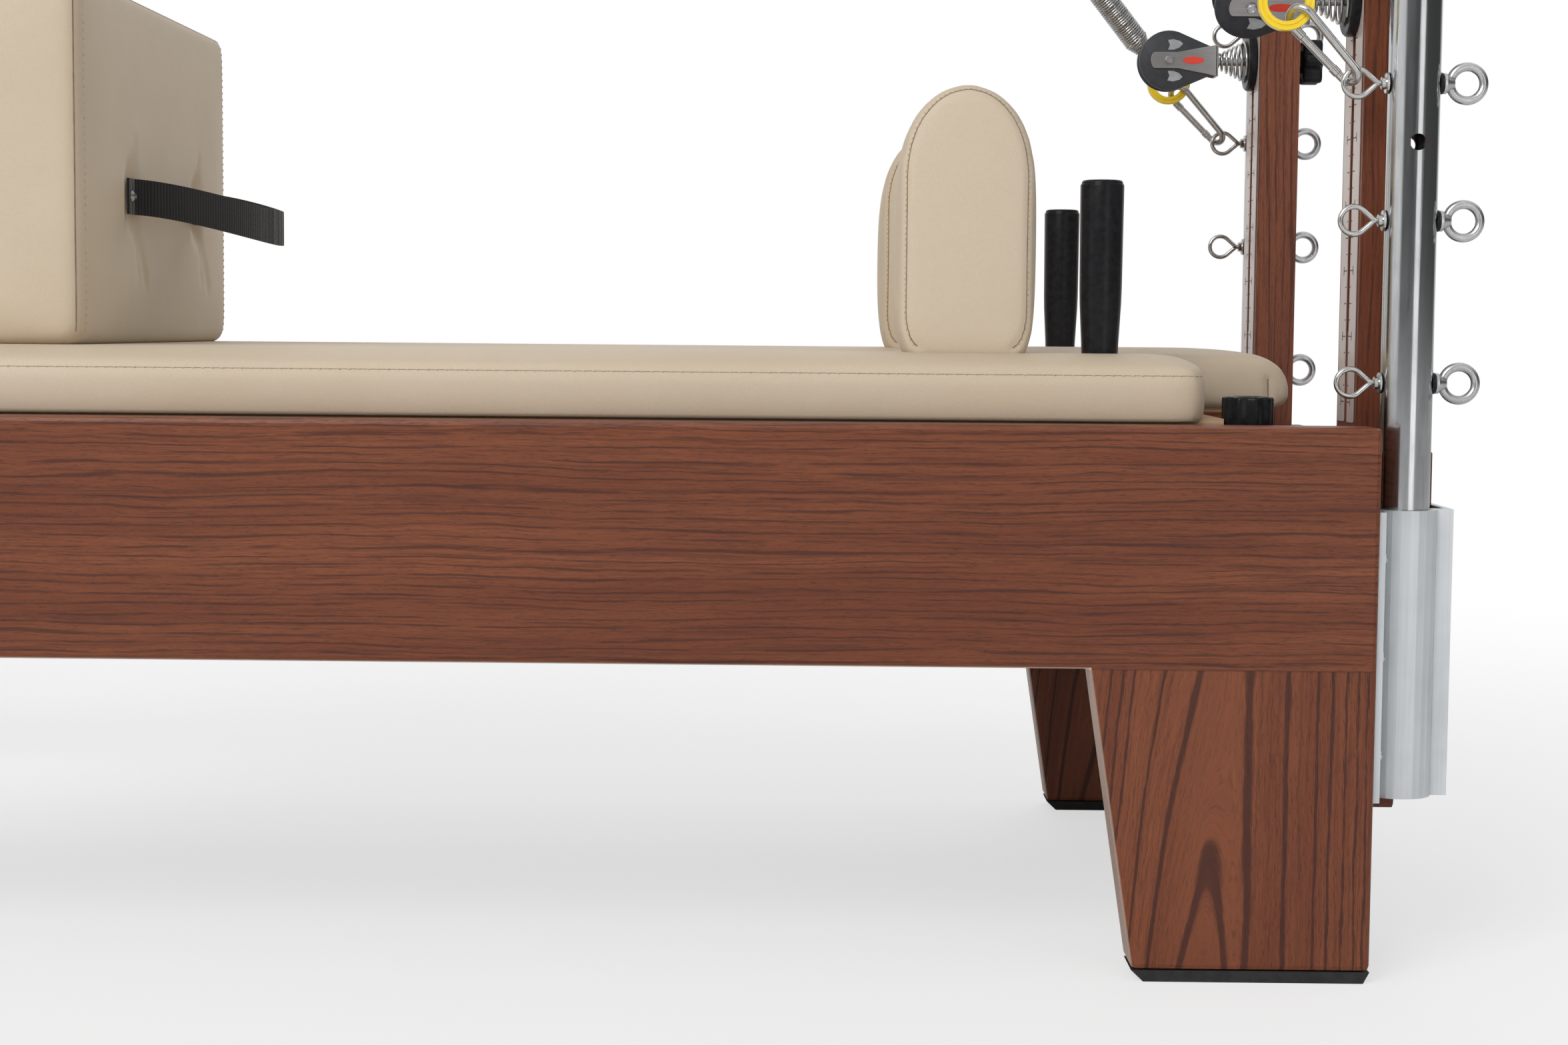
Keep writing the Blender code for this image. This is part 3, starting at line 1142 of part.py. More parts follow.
def build_pulley(side, word):
    """One pulley: its sheave, swivelling block, clamp with the cone spring, and star knob."""
    centre = Vector((PULLEY_X, side * PULLEY_Y, PULLEY_HEIGHT))
    turn = Matrix.Rotation(LEFT_PULLEY_TURN if side < 0 else 0.0, 4, "X")
    place = Matrix.Translation(centre) @ turn
    half = SHEAVE_WIDTH / 2
    bore = AXLE_RADIUS + RUNNING
    groove = SHEAVE_RADIUS - SHEAVE_GROOVE
    profile = [
        (bore, half), (SHEAVE_RADIUS, half), (groove, SHEAVE_GROOVE_HALF), (groove, -SHEAVE_GROOVE_HALF),
        (SHEAVE_RADIUS, -half), (bore, -half), (bore, half),
    ]
    sheave = turned(profile, (0, 0, 0), AXES["Y"], 24)
    sheave.data.transform(place)
    node(f"sheave_{word}", WHITE_NYLON, sheave, origin=centre)
    block_form = pulley_block()
    block_form.data.transform(place)
    node(f"pulley_block_{word}", PLASTIC, block_form, origin=centre)

    def on_axis(x):
        return x, centre.y, centre.z

    face = POST_FACE - GAP
    disc = rod(on_axis(face - CLAMP_DISC_THICKNESS), on_axis(face), CLAMP_DISC_RADIUS, 24)
    knob_foot = POST_BACK + GAP
    knob_end = knob_foot + KNOB_NECK_LENGTH + KNOB_THICKNESS
    bolt_end = knob_end - 2 * CLAMP_BOLT_ROOT
    bolt = rod(on_axis(face - CLAMP_BOLT_ROOT), on_axis(bolt_end), CLAMP_BOLT_RADIUS, 10)
    node(f"pulley_clamp_{word}", PLASTIC, fused(disc, bolt, cone_spring(centre)), origin=centre)

    lobes = lobed(KNOB_RADIUS, KNOB_LOBE_DEPTH, KNOB_LOBES)
    star = plate([lobes], KNOB_THICKNESS, "YZ", knob_end - KNOB_THICKNESS / 2)
    star.data.transform(Matrix.Translation((0, centre.y, centre.z)))
    neck = rod(on_axis(knob_foot), on_axis(knob_foot + KNOB_NECK_LENGTH + WELD), KNOB_NECK_RADIUS, 12)
    bore_end = bolt_end + CLAMP_BOLT_ROOT / 2
    bore_cutter = rod(on_axis(knob_foot - CUT_PAST), on_axis(bore_end), CLAMP_BOLT_RADIUS + RUNNING, 10)
    knob = cut(fused(star, neck), bore_cutter)
    node(f"clamp_knob_{word}", PLASTIC, knob, origin=on_axis(knob_foot))


def build_platform():
    """The standing platform, with an apron that carries its inner edge, and its pad."""
    half = RAIL_INNER - GAP
    low_z = END_BOARD_TOP + GAP
    high_z = low_z + PLATFORM_THICKNESS
    board = block((FOOT_X, -half, low_z), (FOOT_X + PLATFORM_LENGTH, half, high_z), EDGE_ROUNDING)
    apron_x = FOOT_X + PLATFORM_LENGTH - APRON_INSET
    apron_half = half - APRON_INSET
    apron = block(
        (apron_x - APRON_THICKNESS, -apron_half, RAIL_BOTTOM), (apron_x, apron_half, low_z + APRON_ROOT),
    )
    node("standing_platform", OAK, fused(board, apron))
    inset = PLATFORM_PAD_INSET
    pad = block(
        (FOOT_X + inset, inset - half, high_z + GAP),
        (FOOT_X + PLATFORM_LENGTH - inset, half - inset, high_z + GAP + PLATFORM_PAD_THICKNESS),
        PLATFORM_PAD_ROUNDING, 2,
    )
    node("standing_pad", LEATHER, pad)


def footbar_point(angle, radius):
    """A point at a distance from the footbar's pivot, at an angle from upright towards the foot end."""
    return FOOTBAR_X - radius * math.sin(angle), FOOTBAR_PIVOT_Z + radius * math.cos(angle)


def build_footbar():
    pivot = Vector((FOOTBAR_X, 0, FOOTBAR_PIVOT_Z))
    up = Vector((-math.sin(FOOTBAR_LEAN), 0, math.cos(FOOTBAR_LEAN)))

    def across(u, v):
        return pivot + AXES["Y"] * u + up * v

    bar = bent_tube(FOOTBAR_Y, -FOOTBAR_STUB, FOOTBAR_LENGTH, FOOTBAR_BEND, FOOTBAR_RADIUS, across)
    pin_at = pivot + up * INDEX_RADIUS
    holes = [cross_hole(pivot + AXES["Y"] * side * FOOTBAR_Y, PIN_HOLE_RADIUS) for side, _ in SIDES]
    holes.append(cross_hole(pin_at - AXES["Y"] * FOOTBAR_Y, INDEX_PIN_RADIUS))
    node("footbar", BLACK_STEEL, cut(bar, *holes), origin=pivot)

    grip_centre = pivot + up * FOOTBAR_LENGTH
    inner, outer, end = FOOTBAR_RADIUS + GAP, FOOTBAR_RADIUS + GAP + GRIP_THICKNESS, GRIP_LENGTH / 2
    profile = [(inner, end), (outer, end), (outer, -end), (inner, -end), (inner, end)]
    node("footbar_grip", FOAM, turned(profile, grip_centre, AXES["Y"], 16), origin=pivot)

    tip = FOOTBAR_Y + FOOTBAR_RADIUS
    knob_in = FOOTBAR_Y - FOOTBAR_RADIUS - PIN_KNOB_CLEARANCE
    knob_end = knob_in - PIN_KNOB_LENGTH
    left = -AXES["Y"]
    pin = rod(pin_at + left * tip, pin_at + left * (knob_in + knob_end) / 2, INDEX_PIN_RADIUS, 12)
    knob = rod(pin_at + left * knob_in, pin_at + left * knob_end, PIN_KNOB_NECK, 12, PIN_KNOB_RADIUS)
    node("footbar_pin", PLASTIC, fused(pin, knob), origin=pin_at)


def build_footbar_plates():
    """Index plates on the rails' inner faces, with the bolts that the footbar swings on."""
    face = RAIL_INNER - GAP
    inner = face - INDEX_PLATE_THICKNESS
    outline = (
        arc(FOOTBAR_X, FOOTBAR_PIVOT_Z, INDEX_RADIUS + INDEX_PLATE_RIM, 85, 175, 6)
        + [(FOOTBAR_X - INDEX_PLATE_BACK, RAIL_TOP - INDEX_PLATE_DROP),
           (FOOTBAR_X + INDEX_PLATE_FRONT, RAIL_TOP - INDEX_PLATE_DROP)]
    )
    steps = [circle(*footbar_point(math.radians(step), INDEX_RADIUS), INDEX_PIN_RADIUS + RUNNING, 10)
             for step in INDEX_STEPS]
    nut_face = FOOTBAR_Y - FOOTBAR_RADIUS - GAP
    for side, word in SIDES:
        body = plate([outline, *steps], INDEX_PLATE_THICKNESS, "XZ", side * (face + inner) / 2)
        bolt = swing_bolt(side, (FOOTBAR_X, FOOTBAR_PIVOT_Z), face - 2 * WELD, nut_face)
        node(f"footbar_plate_{word}", BLACK_STEEL, fused(body, *bolt))


def spring_ys():
    return [(i - (SPRING_COUNT - 1) / 2) * SPRING_PITCH for i in range(SPRING_COUNT)]


def build_carriage_springs():
    """Carriage springs, unhooked from the carriage and parked between the spring bar and the notched rack."""
    half = RAIL_INNER - GAP
    bar_x = FOOT_X + SPRING_BAR_X
    rack_x = bar_x + SPRING_LENGTH
    bar = rod((bar_x, -half, SPRING_BAR_Z), (bar_x, half, SPRING_BAR_Z), SPRING_BAR_RADIUS, 12)
    node("spring_bar", ZINC, bar)
    notches = []
    for number, y in enumerate(spring_ys(), 1):
        start = Vector((bar_x + SPRING_BAR_RADIUS + SPRING_BAR_HOOK, y, SPRING_BAR_Z))
        end = Vector((rack_x + RACK_THICKNESS, y, SPRING_BAR_Z))
        around = arc(bar_x, SPRING_BAR_Z, SPRING_BAR_RADIUS + SPRING_WIRE + GAP, 200, 30, 5)
        hook = [Vector((x, y, z)) for x, z in around]
        eye_x = end.x + SPRING_EYE_RADIUS + 2 * SPRING_ROOT
        eye = [Vector((x, y, z)) for x, z in arc(eye_x, SPRING_BAR_Z, SPRING_EYE_RADIUS, 150, -100, 7)]
        leaving = Vector(SPRING_LEAVING)
        spring = fused(
            rod(start, end, SPRING_RADIUS, 12),
            wire(hook + [start - AXES["X"] * 2 * SPRING_ROOT, start + leaving], SPRING_WIRE, 6),
            wire([end - leaving, end + AXES["X"] * 1.5 * SPRING_ROOT] + eye, SPRING_WIRE, 6),
        )
        node(f"carriage_spring_{number}", STEEL, spring)
        notches.append(rod(
            (rack_x - CUT_PAST, y, SPRING_BAR_Z), (rack_x + RACK_THICKNESS + CUT_PAST, y, SPRING_BAR_Z),
            SPRING_RADIUS + GAP, 12,
        ))
    shelf, between = TRACK_LEDGE_TOP - TRACK_SKIRT - GAP, LIP_INNER - 2 * GAP
    right = [
        (half, RAIL_BOTTOM), (half, shelf), (between, shelf), (between, RAIL_BOTTOM + RACK_HEIGHT),
    ]
    outline = right + [(-y, z) for y, z in reversed(right)]
    rack = plate([outline], RACK_THICKNESS, "YZ", rack_x + RACK_THICKNESS / 2)
    node("spring_rack", OAK, cut(rack, *notches))


def build():
    build_side_frames()
    build_feet()
    build_end_boards()
    build_tracks()
    build_carriage_base()
    build_carriage_pad()
    build_wheels()
    build_headrest()
    build_shoulder_rests()
    build_hand_posts()
    build_sitting_box()
    build_pulley_posts()
    build_crossboard()
    build_tower_sockets()
    build_tower_frame()
    build_snap_hooks()
    build_push_bar()
    build_tower_springs()
    for side, word in SIDES:
        build_pulley(side, word)
    build_platform()
    build_footbar()
    build_footbar_plates()
    build_carriage_springs()


build()
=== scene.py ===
"""Looks of a pilates reformer with a tower: oak frame, sewn beige covers, polished steel, and a white studio.

Metres, +Z up, +X to the head end, where the tower stands. The left side, -Y, is nearest to the camera.
"""

import json
import math

import bmesh
import bpy
from mathutils import Matrix, Vector
from mathutils.bvhtree import BVHTree
from mathutils.kdtree import KDTree


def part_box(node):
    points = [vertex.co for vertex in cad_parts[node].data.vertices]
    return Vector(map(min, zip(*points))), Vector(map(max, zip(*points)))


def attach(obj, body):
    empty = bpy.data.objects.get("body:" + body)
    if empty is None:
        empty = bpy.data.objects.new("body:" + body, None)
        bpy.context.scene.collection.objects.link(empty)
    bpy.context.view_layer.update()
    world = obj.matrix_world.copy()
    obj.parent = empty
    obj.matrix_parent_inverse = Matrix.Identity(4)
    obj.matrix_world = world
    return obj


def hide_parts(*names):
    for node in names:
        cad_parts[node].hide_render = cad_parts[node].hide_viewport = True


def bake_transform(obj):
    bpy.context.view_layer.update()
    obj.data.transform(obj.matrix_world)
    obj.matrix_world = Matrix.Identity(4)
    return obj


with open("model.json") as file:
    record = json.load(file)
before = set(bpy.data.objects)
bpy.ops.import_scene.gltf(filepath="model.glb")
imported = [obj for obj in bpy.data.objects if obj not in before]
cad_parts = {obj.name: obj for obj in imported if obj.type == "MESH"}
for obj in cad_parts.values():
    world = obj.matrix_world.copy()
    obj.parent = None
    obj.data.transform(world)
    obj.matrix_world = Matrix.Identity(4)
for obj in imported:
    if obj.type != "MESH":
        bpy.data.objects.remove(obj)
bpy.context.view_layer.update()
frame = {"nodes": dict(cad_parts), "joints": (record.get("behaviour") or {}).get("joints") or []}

JOINTS = {joint["name"]: joint for joint in frame["joints"]}
NODES = frame["nodes"]
SIDES = ((-1, "left"), (1, "right"))
WAYS = (-1, 1)
X, Y, Z = Vector((1, 0, 0)), Vector((0, 1, 0)), Vector((0, 0, 1))
GAP = 0.0003  # between two pieces that touch
CREASE = 35  # degrees: a sharper edge than this isn't shaded smooth

HEAD_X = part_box("head_end_board")[1].x
FOOT_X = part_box("foot_end_board")[0].x
RAIL_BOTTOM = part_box("head_end_board")[0].z
RAIL_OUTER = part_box("side_frame_right")[1].y
LEG_TOP, LEG_FOOT = 0.207, 0.1735  # a leg's width at the rail and at its foot
LEG_LOW = 0.0088
LEG_SLOPE = (LEG_TOP - LEG_FOOT) / (RAIL_BOTTOM - LEG_LOW)
LEG_LINES = (  # each dark line's distance from the leg's outer edge, and its half width
    (0.0063, 0.0009), (0.0126, 0.0010), (0.0210, 0.0010), (0.0320, 0.0013), (0.0420, 0.0012), (0.0640, 0.0021),
    (0.0910, 0.0036), (0.1270, 0.0028), (0.1520, 0.0015), (0.1740, 0.0012), (0.1820, 0.0011), (0.1910, 0.0009),
)

PIVOT = Vector(JOINTS["push_bar_swing"]["pos_m"])
TUBE_RADIUS = 0.019
TOWER_X = PIVOT.x
TOWER_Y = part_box("tower_frame")[1].y - TUBE_RADIUS
EYE_LEVELS = (0.4365, 0.555, 0.6545, 0.757)
EYE_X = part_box("tower_frame")[0].x + 0.012
EYE_RADIUS, EYE_WIRE = 0.010, 0.0020
RING_HOLD = 0.017  # from a yellow ring's middle to what hangs in it
BAR_LEAN = math.radians(35)
BAR_HALF_SPAN, BAR_REACH, BAR_BEND, BAR_RADIUS = 0.272, 0.700, 0.060, 0.0125

LOOP_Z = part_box("box_strap")[1].z - 0.015  # the middle of the hand loop's width
LOOP_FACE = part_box("sitting_box")[1].x
EVEN_STITCH = {"pitch": 0.0060, "thread": 0.00045}

FOCAL_PIXELS, PHOTO_WIDTH, SENSOR_WIDTH = 3878.85, 2352, 36.0
SURROUND = 0.52  # how strongly the surround lights the surfaces
WHITE = (1, 1, 1, 1)


def linked(name, data):
    """A new object in the scene, with the data that it shows."""
    made = bpy.data.objects.new(name, data)
    bpy.context.scene.collection.objects.link(made)
    return made


def smoothed(mesh, crease=CREASE):
    mesh.shade_smooth()
    mesh.set_sharp_from_angle(angle=math.radians(crease))
    return mesh


def plain_mesh(name, points, faces):
    mesh = bpy.data.meshes.new(name)
    mesh.from_pydata([tuple(point) for point in points], [], faces)
    return mesh


def shaped(name, points, faces, crease=CREASE):
    """A closed mesh piece with its doubles welded and its sharp edges kept."""
    mesh = plain_mesh(name, points, faces)
    form = bmesh.new()
    form.from_mesh(mesh)
    bmesh.ops.remove_doubles(form, verts=form.verts, dist=0.000002)
    bmesh.ops.dissolve_degenerate(form, edges=form.edges, dist=0.000001)
    bmesh.ops.recalc_face_normals(form, faces=form.faces)
    form.to_mesh(mesh)
    form.free()
    return linked(name, smoothed(mesh, crease))


def joined(name, parts, crease=CREASE):
    """One piece out of several that share a finish and a body."""
    form = bmesh.new()
    for part in parts:
        form.from_mesh(part.data)
        bpy.data.objects.remove(part, do_unlink=True)
    mesh = bpy.data.meshes.new(name)
    form.to_mesh(mesh)
    form.free()
    return linked(name, smoothed(mesh, crease))


def moved(part, matrix):
    part.data.transform(matrix)
    return part


def turn_between(start, end):
    """The turn that brings one direction to another."""
    return start.rotation_difference(end).to_matrix().to_4x4()


def around(centre, radius, angle, across, other):
    """A point on a circle about a centre, measured from across towards other."""
    return centre + radius * (math.cos(angle) * across + math.sin(angle) * other)


def square_to(way):
    """Two directions square to a way and to each other."""
    across = way.orthogonal().normalized()
    return across, way.cross(across)


def skin(rings, sides, ends="open"):
    """The faces over a row of rings of corners. Its ends are open, capped, or closed on each other."""
    faces = []
    for ring in range(rings if ends == "closed" else rings - 1):
        low, high = ring * sides, (ring + 1) % rings * sides
        for i in range(sides):
            after = (i + 1) % sides
            faces.append((low + i, low + after, high + after, high + i))
    if ends == "capped":
        faces += [tuple(reversed(range(sides))), tuple(range((rings - 1) * sides, rings * sides))]
    return faces


def turned(name, profile, place=(0, 0, 0), axis=Z, sides=48, crease=CREASE):
    """A profile of (radius, height) points turned about an axis through a place."""
    matrix = Matrix.Translation(place) @ turn_between(Z, axis)
    points = []
    for radius, height in profile:
        for i in range(sides):
            angle = 2 * math.pi * i / sides
            points.append(matrix @ Vector((radius * math.cos(angle), radius * math.sin(angle), height)))
    return shaped(name, points, skin(len(profile), sides), crease)


def mirrored(profile):
    """A profile's points on the other face, in reverse."""
    return [(radius, -height) for radius, height in reversed(profile)]


def directions(points, closed):
    count = len(points)
    for i in range(count):
        before = points[(i - 1) % count] if closed or i else points[i]
        after = points[(i + 1) % count] if closed or i < count - 1 else points[i]
        yield (after - before).normalized()


def swept(name, points, radius, sides=16, closed=False):
    """A round wire or tube of one radius, or of a radius for each point, along a path."""
    points = [Vector(point) for point in points]
    radii = radius if isinstance(radius, (list, tuple)) else [radius] * len(points)
    ways = list(directions(points, closed))
    across = ways[0].orthogonal().normalized()
    frames = [across]
    for last, way in zip(ways, ways[1:]):
        across = last.rotation_difference(way) @ across
        across = (across - way * across.dot(way)).normalized()
        frames.append(across)
    twist = 0.0
    if closed:
        back = ways[-1].rotation_difference(ways[0]) @ frames[-1]
        twist = math.atan2(back.cross(frames[0]).dot(ways[0]), back.dot(frames[0])) / len(points)
    corners = []
    for i, (point, way, across, size) in enumerate(zip(points, ways, frames, radii)):
        other = way.cross(across)
        for side in range(sides):
            corners.append(around(point, size, 2 * math.pi * side / sides + twist * i, across, other))
    return shaped(name, corners, skin(len(points), sides, "closed" if closed else "capped"), 50)


def coil(name, start, end, radii, wire, turns, steps=16, sides=8):
    """A wire wound on a line, from a first radius to a last one."""
    line = end - start
    across, other = square_to(line.normalized())
    count = int(turns * steps)
    points = []
    for i in range(count + 1):
        radius = radii[0] + (radii[1] - radii[0]) * (i / count)
        points.append(around(start + line * (i / count), radius, 2 * math.pi * i / steps, across, other))
    return swept(name, points, wire, sides)


PLANES = {
    "XY": lambda u, v, w: (u, v, w),
    "XZ": lambda u, v, w: (u, w, v),
    "YZ": lambda u, v, w: (w, u, v),
}


def board(name, outline, low, high, plane="XY", rounding=0.0, steps=2):
    """A flat outline given a thickness, with its rims rounded."""
    place = PLANES[plane]
    count = len(outline)
    points = [place(u, v, level) for level in (low, high) for u, v in outline]
    made = shaped(name, points, [tuple(range(count)), tuple(range(count, 2 * count)), *skin(2, count)])
    if rounding:
        form = bmesh.new()
        form.from_mesh(made.data)
        rims = [e for e in form.edges if len(e.link_faces) == 2 and e.calc_face_angle() > math.radians(50)]
        bmesh.ops.bevel(form, geom=rims, offset=rounding, segments=steps, profile=0.5, affect="EDGES")
        form.to_mesh(made.data)
        form.free()
        smoothed(made.data)
    return made


def arc(centre_u, centre_v, radius, start, end, steps, radius_v=None):
    """Points of a circle or ellipse from one angle to another, in degrees."""
    tall = radius if radius_v is None else radius_v
    angles = [math.radians(start + (end - start) * i / steps) for i in range(steps + 1)]
    return [(centre_u + radius * math.cos(a), centre_v + tall * math.sin(a)) for a in angles]


def rectangle(low_u, high_u, low_v, high_v, corner, steps=6):
    return (
        arc(high_u - corner, low_v + corner, corner, -90, 0, steps)
        + arc(high_u - corner, high_v - corner, corner, 0, 90, steps)
        + arc(low_u + corner, high_v - corner, corner, 90, 180, steps)
        + arc(low_u + corner, low_v + corner, corner, 180, 270, steps)
    )


def footprint(low, high, inset, corner):
    """The outline of a box seen from above, drawn in by an inset."""
    return rectangle(low.x + inset, high.x - inset, low.y + inset, high.y - inset, corner)


def lobed(radius, depth, lobes, steps_per_lobe=10):
    """A round outline with lobes that stand out by twice the depth."""
    count = lobes * steps_per_lobe
    points = []
    for i in range(count):
        angle = 2 * math.pi * i / count
        reach = radius - depth + depth * math.cos(lobes * angle)
        points.append((reach * math.cos(angle), reach * math.sin(angle)))
    return points


def arch(half_span, low, high, bend, place):
    """A square arch with round corners, as points that place() puts where they belong."""
    legs, steps = 6, 12
    points = [(-half_span, low + (high - bend - low) * i / legs) for i in range(legs)]
    points += [(-half_span + bend - bend * math.cos(a), high - bend + bend * math.sin(a))
               for a in (math.pi / 2 * i / steps for i in range(steps + 1))]
    points += [(-u, v) for u, v in reversed(points)]
    return [place(u, v) for u, v in points]


def upright(place, outline):
    """An outline's points as seen from the side, about a place."""
    return [place + Vector((u, 0, v)) for u, v in outline]


def evaluated(piece):
    graph = bpy.context.evaluated_depsgraph_get()
    graph.update()
    return bpy.data.meshes.new_from_object(piece.evaluated_get(graph))


def applied(piece):
    """The piece with its modifiers made part of its mesh."""
    mesh = evaluated(piece)
    piece.modifiers.clear()
    piece.data = mesh
    return piece


def carved(part, *cutters):
    """The part less its cutters."""
    for cutter in cutters:
        hole = part.modifiers.new("hole", "BOOLEAN")
        hole.operation = "DIFFERENCE"
        hole.solver = "EXACT"
        hole.object = cutter
        applied(part)
        bpy.data.objects.remove(cutter, do_unlink=True)
    smoothed(part.data)
    return part


class Value:
    """One socket of a node tree, so that shader maths reads as expressions."""

    def __init__(self, nodes, socket):
        self.nodes = nodes
        self.socket = socket

    def __add__(self, other):
        return self.nodes.maths("ADD", self, other)

    def __sub__(self, other):
        return self.nodes.maths("SUBTRACT", self, other)

    def __rsub__(self, other):
        return self.nodes.maths("SUBTRACT", other, self)

    def __mul__(self, other):
        return self.nodes.maths("MULTIPLY", self, other)

    def __truediv__(self, other):
        return self.nodes.maths("DIVIDE", self, other)

    __radd__ = __add__
    __rmul__ = __mul__

    def size(self):
        return self.nodes.maths("ABSOLUTE", self)

    def repeated(self, pitch):
        """The share of the way through each pitch."""
        return self.nodes.maths("FRACT", self / pitch)

    def eased(self, low, high, first=0.0, last=1.0):
        """The first value up to low, the last from high, smooth between. Low may be above high."""
        settings = {"interpolation_type": "SMOOTHSTEP"}
        return self.nodes.node("MapRange", settings, {0: self, 1: low, 2: high, 3: first, 4: last}, 0)

    def near(self, level, reach):
        """1 at a level, falling to 0 at its reach."""
        return (self - level).size().eased(reach, reach * 0.3)


class Tree:
    """The nodes of a finish or of the surround, about the shader that they feed."""

    def __init__(self, tree, shader):
        self.tree = tree
        self.shader = tree.nodes[shader]

    def node(self, kind, settings, sockets, output):
        """One shader node, its settings, what goes into its sockets, and the output to go on with."""
        made = self.tree.nodes.new("ShaderNode" + kind)
        for word, value in settings.items():
            setattr(made, word, value)
        for socket, value in sockets.items():
            if isinstance(value, Value):
                self.tree.links.new(value.socket, made.inputs[socket])
            else:
                made.inputs[socket].default_value = value
        return Value(self, made.outputs[output])

    def maths(self, operation, *values):
        return self.node("Math", {"operation": operation}, dict(enumerate(values)), 0)

    def ray(self, kind):
        """1 for a camera, glossy or transmission ray, and 0 for any other."""
        return self.node("LightPath", {}, {}, f"Is {kind} Ray")

    def split(self, place):
        return [self.node("SeparateXYZ", {}, {0: place}, word) for word in "XYZ"]

    def mixed(self, share, first, second):
        """The first value, passing to the second as the share goes from 0 to 1."""
        return self.node("Mix", {}, {0: share, 2: first, 3: second}, 0)

    def feed(self, socket, value):
        self.tree.links.new(value.socket, self.shader.inputs[socket])


class Finish(Tree):
    """A material whose colour and relief come from its nodes."""

    def __init__(self, name, slot, **shader):
        self.material = bpy.data.materials.new(name)
        self.material.use_nodes = True
        super().__init__(self.material.node_tree, "Principled BSDF")
        self.slot = slot
        for socket, value in shader.items():
            self.shader.inputs[socket.replace("_", " ").title().replace("Ior", "IOR")].default_value = value
        self.place = self.node("TexCoord", {}, {}, "Object")
        self.x, self.y, self.z = self.split(self.place)

    def stretched(self, x, y, z):
        """The place, scaled along each axis."""
        return self.node("VectorMath", {"operation": "MULTIPLY"}, {0: self.place, 1: (x, y, z)}, 0)

    def vector(self, x, y, z):
        return self.node("CombineXYZ", {}, {0: x, 1: y, 2: z}, 0)

    def noise(self, where, scale=1.0, detail=2.0, roughness=0.5):
        sockets = {"Vector": where, "Scale": scale, "Detail": detail, "Roughness": roughness}
        return self.node("TexNoise", {}, sockets, 0)

    def cells(self, where, scale):
        return self.node("TexVoronoi", {}, {"Vector": where, "Scale": scale}, "Distance")

    def layered(self, colour, *coats):
        """A colour with coats over it, each a share from 0 to 1 and a colour."""
        for share, coat in coats:
            first, second = (tone if isinstance(tone, Value) else (*tone, 1.0) for tone in (colour, coat))
            colour = self.node("Mix", {"data_type": "RGBA"}, {0: share, 6: first, 7: second}, 2)
        return colour

    def coloured(self, colour, *coats):
        self.feed("Base Color", self.layered(colour, *coats))

    def relief(self, height, depth, strength):
        """Bump of a depth in metres, over what is there already."""
        bumped = self.node("Bump", {}, {"Height": height, "Distance": depth, "Strength": strength}, 0)
        normal = self.shader.inputs["Normal"]
        if normal.links:
            self.tree.links.new(normal.links[0].from_socket, bumped.socket.node.inputs["Normal"])
        self.tree.links.new(bumped.socket, normal)
        return self


def chosen(share, first, second):
    """The first value, passing to the second as the share goes from 0 to 1. Both may be numbers."""
    return first + (second - first) * share


